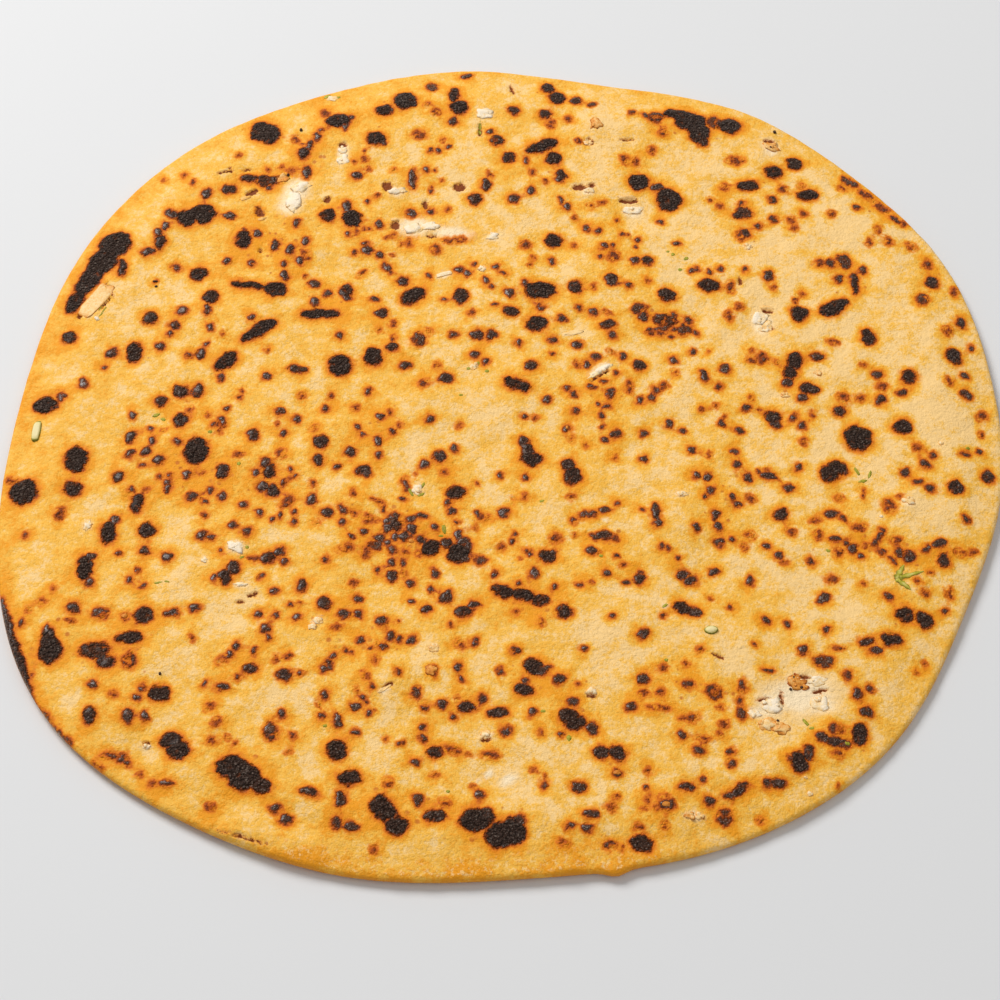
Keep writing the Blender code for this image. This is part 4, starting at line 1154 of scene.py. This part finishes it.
class Pieces:
    """Closed pieces of one kind, gathered into one mesh."""

    def __init__(self, name, material, slot):
        self.name = name
        self.material = material
        self.slot = slot
        self.points = []
        self.faces = []
        self.shades = []

    def add(self, points, faces, shades):
        start = len(self.points)
        self.points += points
        self.faces += [tuple(start + corner for corner in face) for face in faces]
        self.shades += shades

    def lump(self, mark, rise, lumps, shade, box=1.0, steps=BALL_STEPS, drape=False, lift=0.0):
        """A lumpy piece over the photo mark, as high as rise. shade(p, swell) gives each point's shade. A box
        under 1 squares it, drape lays every point on the skin, and lift raises it."""
        x, y, length, width, turn, _ = mark
        points = []
        shades = []
        seed = Vector((x, y, 0.0)) / MM
        base = skin_at(x, y)
        for p in BALLS[steps][0]:
            swell = 1.0 + lumps * noise.noise(p * COARSE_LUMPS + seed)
            swell += 0.5 * lumps * abs(noise.noise(p * FINE_LUMPS + seed))
            q = [math.copysign(abs(v) ** box, v) * swell for v in p]
            along = q[0] * length
            aside = q[1] * width
            px = x + along * math.cos(turn) - aside * math.sin(turn)
            py = y + along * math.sin(turn) + aside * math.cos(turn)
            floor_z = skin_at(px, py) if drape else base
            height = max(q[2], -PIECE_SINK) * rise
            points.append((px, py, floor_z + lift + height))
            shades.append(shade(p, swell))
        self.add(points, BALLS[steps][1], shades)

    def build(self):
        mesh = bpy.data.meshes.new(self.name)
        mesh.from_pydata(self.points, [], self.faces)
        attribute = mesh.attributes.new("shade", "FLOAT", "POINT")
        attribute.data.foreach_set("value", self.shades)
        mesh.materials.append(self.material)
        mesh.shade_smooth()
        made = bpy.data.objects.new(self.name, mesh)
        bpy.context.scene.collection.objects.link(made)
        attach(made, "root")


def shaded_finish(name, stops, grain_size, grain_height):
    """A finish whose colour follows the shade, a little uneven, over a fine grain."""
    finish = Finish(name)
    grain = finish.noise(grain_size, 3.0, 0.65)
    shade = finish.add(finish.field("shade"), finish.times(finish.less(grain, 0.5), 0.7))
    finish.set(finish.shader.inputs["Base Color"], finish.ramp(shade, stops))
    finish.set(finish.shader.inputs["Normal"], finish.bump(grain, grain_height, 0.8))
    finish.shader.inputs["Roughness"].default_value = PIECE_ROUGHNESS
    finish.shader.inputs["Specular IOR Level"].default_value = PIECE_SPECULAR
    return finish.material


# Cauliflower: grated pieces in the torn places
# Creamy lumps with beads of curd, some toasted, pressed into the skin when the bread was rolled. Each is
# column, row, width, height and turn as the photo shows it, then how toasted it is, from 0 to 1. Slivers are
# flat, straight-sided slices.
CURDS = (
    (293, 202, 18, 22, 10, 0.0), (301, 187, 18, 10, 35, 0.05), (283, 178, 12, 8, 20, 0.7),
    (97, 319, 5, 4, 0, 0.0), (343, 150, 10, 7, 0, 0.1), (343, 159, 12, 10, 20, 0.0),
    (412, 227, 20, 12, 0, 0.1), (430, 225, 17, 9, 10, 0.05), (396, 190, 16, 7, 10, 0.1),
    (485, 114, 16, 9, 0, 0.0), (493, 236, 13, 7, 0, 0.1), (634, 209, 20, 8, 0, 0.1),
    (588, 191, 12, 5, 0, 0.2), (759, 318, 13, 13, 40, 0.05), (766, 327, 12, 10, 0, 0.2),
    (748, 246, 8, 6, 0, 0.3), (771, 146, 13, 12, 20, 0.6), (600, 371, 22, 6, 30, 0.0),
    (236, 547, 16, 11, 0, 0.0), (241, 584, 15, 4, 0, 0.1), (204, 560, 7, 5, 0, 0.2),
    (87, 525, 7, 10, 0, 0.2), (146, 745, 8, 6, 0, 0.1), (318, 621, 11, 7, 0, 0.32),
    (312, 628, 8, 6, 0, 0.32), (434, 648, 10, 7, 0, 0.35), (486, 734, 12, 7, 0, 0.32),
    (591, 692, 11, 7, 0, 0.32), (431, 671, 12, 9, 0, 0.8), (773, 704, 21, 14, 0, 0.0),
    (796, 681, 17, 14, 0, 0.78), (804, 686, 8, 6, 0, 0.9), (817, 680, 18, 9, 0, 0.1),
    (821, 702, 18, 13, 0, 0.1), (755, 713, 12, 7, 0, 0.0), (767, 724, 18, 12, 0, 0.45),
    (780, 727, 18, 12, 0, 0.55), (908, 502, 13, 9, 0, 0.3), (818, 373, 8, 5, 0, 0.4),
    (785, 395, 8, 5, 0, 0.4), (417, 489, 10, 9, 0, 0.1), (811, 791, 6, 5, 0, 0.3), (806, 776, 4, 3, 0, 0.3),
    (690, 815, 11, 7, 0, 0.6), (700, 815, 10, 8, 0, 0.4), (474, 366, 8, 6, 0, 0.3),
    (482, 269, 7, 5, 0, 0.2), (681, 495, 11, 5, 0, 0.2), (941, 444, 5, 4, 0, 0.4), (881, 517, 4, 3, 0, 0.1),
    (596, 126, 12, 11, 0, 0.7), (588, 143, 9, 5, 0, 0.3), (332, 95, 10, 5, 0, 0.2),
)
SLIVERS = ((96, 300, 40, 15, 47, 0.38), (444, 273, 16, 4, 15, 0.1))
CURD_RISE = 0.34 * MM
CURD_RISE_MORE = 0.07
SLIVER_RISE = 0.42 * MM
FLUSH = -0.38
CURD_LUMPS = 0.62
CURD_BOX = 0.9
SLIVER_LUMPS = 0.16
SLIVER_BOX = 0.42
# Beads of curd on each piece: one for this much of its size, how far out, how large and how high
CURD_BEAD_SPACING = 0.8 * MM
CURD_BEADS_OUT = (0.1, 0.85)
CURD_BEAD_SIZES = (0.35, 0.75)
CURD_BEAD_HEIGHT = 0.7
CURD_BEAD_FLATNESS = 0.8
CURD_BEAD_RISE = 0.6
CURD_BEAD_LUMPS = 0.5
# Shade of a piece: its least, and what toasting, the painted shade of its hollows and the foot of the piece
# add
LEAST_SHADE = 0.08
TOAST_SHADE = 0.85
HOLLOW_PAINTED_SHADE = 0.45
FOOT_SHADE = 0.75
FOOT_TOP = 0.75
CREAM_STOPS = (
    (0.00, linear(252, 234, 206)),
    (0.18, linear(250, 224, 180)),
    (0.40, linear(248, 204, 132)),
    (0.72, linear(232, 150, 52)),
    (1.00, linear(164, 78, 18)),
)
random.seed(5)
cauliflower_finish = shaded_finish("cauliflower", CREAM_STOPS, 0.6 * MM, 0.25 * MM)
cauliflower = Pieces("cauliflower_pieces", cauliflower_finish, "cauliflower")


def toasted(toast):
    """Cream on the swellings and browner in the hollows, as painted light and shade; as yellow as the
    dough at the foot, browner the more it is toasted.
    """

    def shade(p, swell):
        foot = FOOT_SHADE * max(FOOT_TOP - p.z, 0.0)
        return LEAST_SHADE + TOAST_SHADE * toast + HOLLOW_PAINTED_SHADE * (1.0 - swell) + foot

    return shade


for *place, toast in CURDS:
    mark = photo_marks([place])[0]
    size = math.sqrt(mark[2] * mark[3])
    rise = CURD_RISE + CURD_RISE_MORE * size
    cauliflower.lump(mark, rise, CURD_LUMPS, toasted(toast), box=CURD_BOX, drape=True, lift=FLUSH * rise)
    for bead in range(int(size / CURD_BEAD_SPACING)):
        angle = random.uniform(0.0, math.tau)
        out = random.uniform(*CURD_BEADS_OUT)
        reach = random.uniform(*CURD_BEAD_SIZES) * MM
        bead_x = mark[0] + out * mark[2] * math.cos(angle)
        bead_y = mark[1] + out * mark[3] * math.sin(angle)
        small = (bead_x, bead_y, reach, reach * CURD_BEAD_FLATNESS, angle, 1.0)
        lift = rise * (CURD_BEAD_HEIGHT * math.sqrt(1.0 - out * out) + FLUSH)
        bead_rise = CURD_BEAD_RISE * reach
        cauliflower.lump(small, bead_rise, CURD_BEAD_LUMPS, toasted(toast), steps=BEAD_STEPS, lift=lift)
for *place, toast in SLIVERS:
    mark = photo_marks([place])[0]
    lift = FLUSH * SLIVER_RISE
    cauliflower.lump(mark, SLIVER_RISE, SLIVER_LUMPS, toasted(toast), box=SLIVER_BOX, drape=True, lift=lift)
cauliflower.build()

# Coriander: leaf flecks, a slice of stalk and one piece of leaf
# Flecks of chopped leaf baked into the skin, a slice of stalk with a green rind by the left rim, and near the
# right rim a three-pronged piece of leaf. Places and sizes are in the photo's pixels, as column, row, width,
# height and turn.
FLECKS = (
    (327, 93, 7, 3, 30), (338, 94, 4, 2, 0), (104, 310, 8, 1.4, 52), (101, 315, 6, 1.2, 45),
    (100, 309, 5, 1.2, 60), (480, 128, 3, 12, 0), (673, 254, 4, 3, 0), (686, 258, 5, 3, 20),
    (680, 269, 4, 3, 0), (668, 251, 3, 2, 0), (156, 415, 7, 3, 20), (163, 419, 5, 3, -20),
    (210, 432, 4, 3, 0), (239, 464, 4, 3, 0), (247, 547, 4, 3, 0), (242, 557, 5, 2, 20),
    (158, 583, 8, 2, 10), (167, 582, 5, 2, -10), (411, 492, 3, 8, 20), (421, 494, 7, 3, 20),
    (423, 485, 3, 6, -20), (469, 368, 5, 3, 30), (478, 363, 4, 3, 0), (487, 371, 4, 3, 0),
    (461, 395, 4, 2, 0), (444, 529, 4, 9, 10), (441, 535, 5, 2, 0), (542, 501, 5, 2, 10),
    (601, 557, 4, 3, 0), (665, 606, 6, 3, 30), (828, 551, 5, 2.5, -20), (857, 471, 3, 9, 20),
    (863, 481, 9, 3, 10), (870, 474, 3, 8, -15), (968, 448, 4, 3, 0), (325, 726, 4, 3, 0),
    (448, 791, 4, 3, 0), (543, 712, 5, 3, 0), (569, 738, 5, 6, 0), (666, 661, 4, 3, 0),
    (806, 721, 9, 3, -50), (812, 727, 5, 3, 20), (848, 742, 5, 3, 0),
)
FLECK_RISE = 0.10 * MM
STALK = (36, 430, 20, 8, 78)
SEED = (711, 631, 14, 8, 5)
STALK_RISE = 0.75 * MM
SEED_RISE = 0.8 * MM
LEAF_BASE = (896, 579)
LEAF_TIPS = ((904, 565, 7.0), (924, 571, 6.0), (911, 590, 7.5))
LEAF_STEPS = 14
LEAF_ACROSS = 6
LEAF_THICK = 0.12 * MM
LEAF_ARCH = 0.24 * MM
# The blade's saw teeth: how deep, and how many as an angle along it
TEETH_DEPTH = 0.22
TEETH_ANGLE = 19.0
FLECK_LUMPS = 0.5
STALK_LUMPS = 0.12
STALK_BOX = 0.6
SEED_LUMPS = 0.10
LEAF_STOPS = (
    (0.00, linear(104, 92, 10)),
    (0.30, linear(142, 132, 22)),
    (0.65, linear(180, 172, 52)),
    (1.00, linear(218, 206, 124)),
)
RIND_STOPS = (
    (0.00, linear(238, 222, 166)),
    (0.45, linear(226, 212, 140)),
    (0.70, linear(150, 150, 52)),
    (1.00, linear(92, 96, 24)),
)
leaf_finish = shaded_finish("coriander leaf", LEAF_STOPS, 0.5 * MM, 0.15 * MM)
stalk_finish = shaded_finish("coriander stalk", RIND_STOPS, 0.5 * MM, 0.1 * MM)
leaves = Pieces("coriander_leaf", leaf_finish, "coriander")
stalks = Pieces("coriander_stalk", stalk_finish, "coriander")


def leafy(p, swell):
    """Painted light: lighter where a fleck bulges."""
    return 0.45 + 0.8 * (swell - 1.0)


for fleck in photo_marks(FLECKS):
    leaves.lump(fleck, FLECK_RISE, FLECK_LUMPS, leafy, steps=BEAD_STEPS, drape=True)


def rind(p, swell):
    """Pale in the middle, green at the outside."""
    return math.hypot(p.x, p.y) ** 3


stalks.lump(photo_marks([STALK])[0], STALK_RISE, STALK_LUMPS, rind, box=STALK_BOX)
stalks.lump(photo_marks([SEED])[0], SEED_RISE, SEED_LUMPS, rind)
stalks.build()


def leaf_prong(tip_column, tip_row, wide):
    """One lobe of the leaf: a thin closed blade that arches up from its base, folded along its middle."""
    x1, y1 = on_bread(*LEAF_BASE, BODY_THICKNESS)
    x2, y2 = on_bread(tip_column, tip_row, BODY_THICKNESS)
    px, py = on_bread(LEAF_BASE[0] + 1, LEAF_BASE[1], BODY_THICKNESS)
    half = wide / 2.0 * math.hypot(px - x1, py - y1)
    long = math.hypot(x2 - x1, y2 - y1)
    ahead = ((x2 - x1) / long, (y2 - y1) / long)
    points = []
    shades = []
    for side in (1.0, -1.0):
        for step in range(LEAF_STEPS + 1):
            share = step / LEAF_STEPS
            teeth = 1.0 + TEETH_DEPTH * math.sin(share * TEETH_ANGLE)
            reach = half * (0.08 + 0.9 * (1.0 - share) ** 0.5 * min(share * 4.0 + 0.5, 1.0)) * teeth
            for across in range(LEAF_ACROSS + 1):
                aside = across / LEAF_ACROSS * 2.0 - 1.0
                x = x1 + ahead[0] * long * share - ahead[1] * reach * aside
                y = y1 + ahead[1] * long * share + ahead[0] * reach * aside
                arch = LEAF_ARCH * math.sin(math.pi * (0.12 + 0.80 * share)) * (1.0 - 0.35 * aside * aside)
                z = skin_at(x, y) + arch + side * LEAF_THICK / 2.0 * (1.0 - aside**4)
                points.append((x, y, z))
                shades.append(0.80 - 0.6 * abs(aside) ** 2.0 + 0.15 * math.cos(share * 12.0))
    row = LEAF_ACROSS + 1
    layer = row * (LEAF_STEPS + 1)
    faces = []
    for step in range(LEAF_STEPS):
        for across in range(LEAF_ACROSS):
            a = step * row + across
            faces += [(a, a + row, a + 1), (a + 1, a + row, a + row + 1)]
            a += layer
            faces += [(a, a + 1, a + row), (a + 1, a + row + 1, a + row)]
    rim = list(range(row))
    rim += [step * row + LEAF_ACROSS for step in range(1, LEAF_STEPS + 1)]
    rim += [LEAF_STEPS * row + across for across in range(LEAF_ACROSS - 1, -1, -1)]
    rim += [step * row for step in range(LEAF_STEPS - 1, 0, -1)]
    for a, b in zip(rim, rim[1:] + rim[:1]):
        faces += [(a, b, b + layer), (a, b + layer, a + layer)]
    leaves.add(points, faces, shades)


for tip in LEAF_TIPS:
    leaf_prong(*tip)
leaves.build()

# Dough shreds and crumbs
# Thin strips of skin that stretched over a tear, the amber skins of blisters that burst, and crumbs of crust
# that came off and lie loose on the face. A shred's last value is how toasted it is.
SHREDS = (
    (617, 773, 7, 5, 0, 1.0), (125, 617, 6, 5, 0, 1.0), (666, 805, 8, 5, 0, 1.0), (411, 541, 5, 4, 0, 1.0),
    (567, 428, 3, 4, 0, 1.0), (600, 372, 26, 4, 30, 0.05), (385, 690, 15, 4, 30, 0.3),
    (573, 333, 20, 5, 12, 0.25), (246, 198, 12, 4, 20, 0.5), (767, 308, 14, 4, -10, 0.4),
    (627, 197, 18, 4, 0, 0.4), (262, 219, 8, 3, 20, 0.5), (395, 218, 9, 3, 0, 0.4),
)
CRUMBS = (
    (301, 129, 3, 3), (160, 674, 3, 3), (771, 147, 4, 3), (775, 130, 3, 3), (794, 677, 3, 3),
    (802, 686, 4, 3), (791, 688, 3, 3), (778, 720, 3, 3), (288, 175, 3, 3), (155, 281, 5, 2),
    (156, 286, 3, 2),
)
SHRED_RISE = 0.22 * MM
SHRED_STOPS = (
    (0.00, linear(252, 224, 168)),
    (0.50, linear(244, 180, 84)),
    (1.00, linear(206, 118, 28)),
)
CRUMB_STOPS = ((0.0, linear(40, 30, 26)), (1.0, linear(84, 50, 28)))
SHRED_LUMPS = 0.4
CRUMB_SHADE = 0.5


def stretched(toast):
    """Painted shade and light: browner in its hollows, paler on top."""
    return lambda p, swell: toast + 0.3 * (1.0 - swell) - 0.1 * p.z


shred_finish = shaded_finish("stretched dough", SHRED_STOPS, 0.6 * MM, 0.2 * MM)
shreds = Pieces("dough_shreds", shred_finish, "griddled_dough")
for *place, toast in SHREDS:
    shreds.lump(photo_marks([place])[0], SHRED_RISE, SHRED_LUMPS, stretched(toast), drape=True)
shreds.build()
crumb_finish = shaded_finish("burnt crumbs", CRUMB_STOPS, 0.3 * MM, 0.1 * MM)
crumbs = Pieces("crust_crumbs", crumb_finish, "griddled_dough")
for crumb in photo_marks(CRUMBS):
    crumbs.lump(crumb, crumb[3], SHRED_LUMPS, lambda p, swell: CRUMB_SHADE, steps=BEAD_STEPS)
crumbs.build()
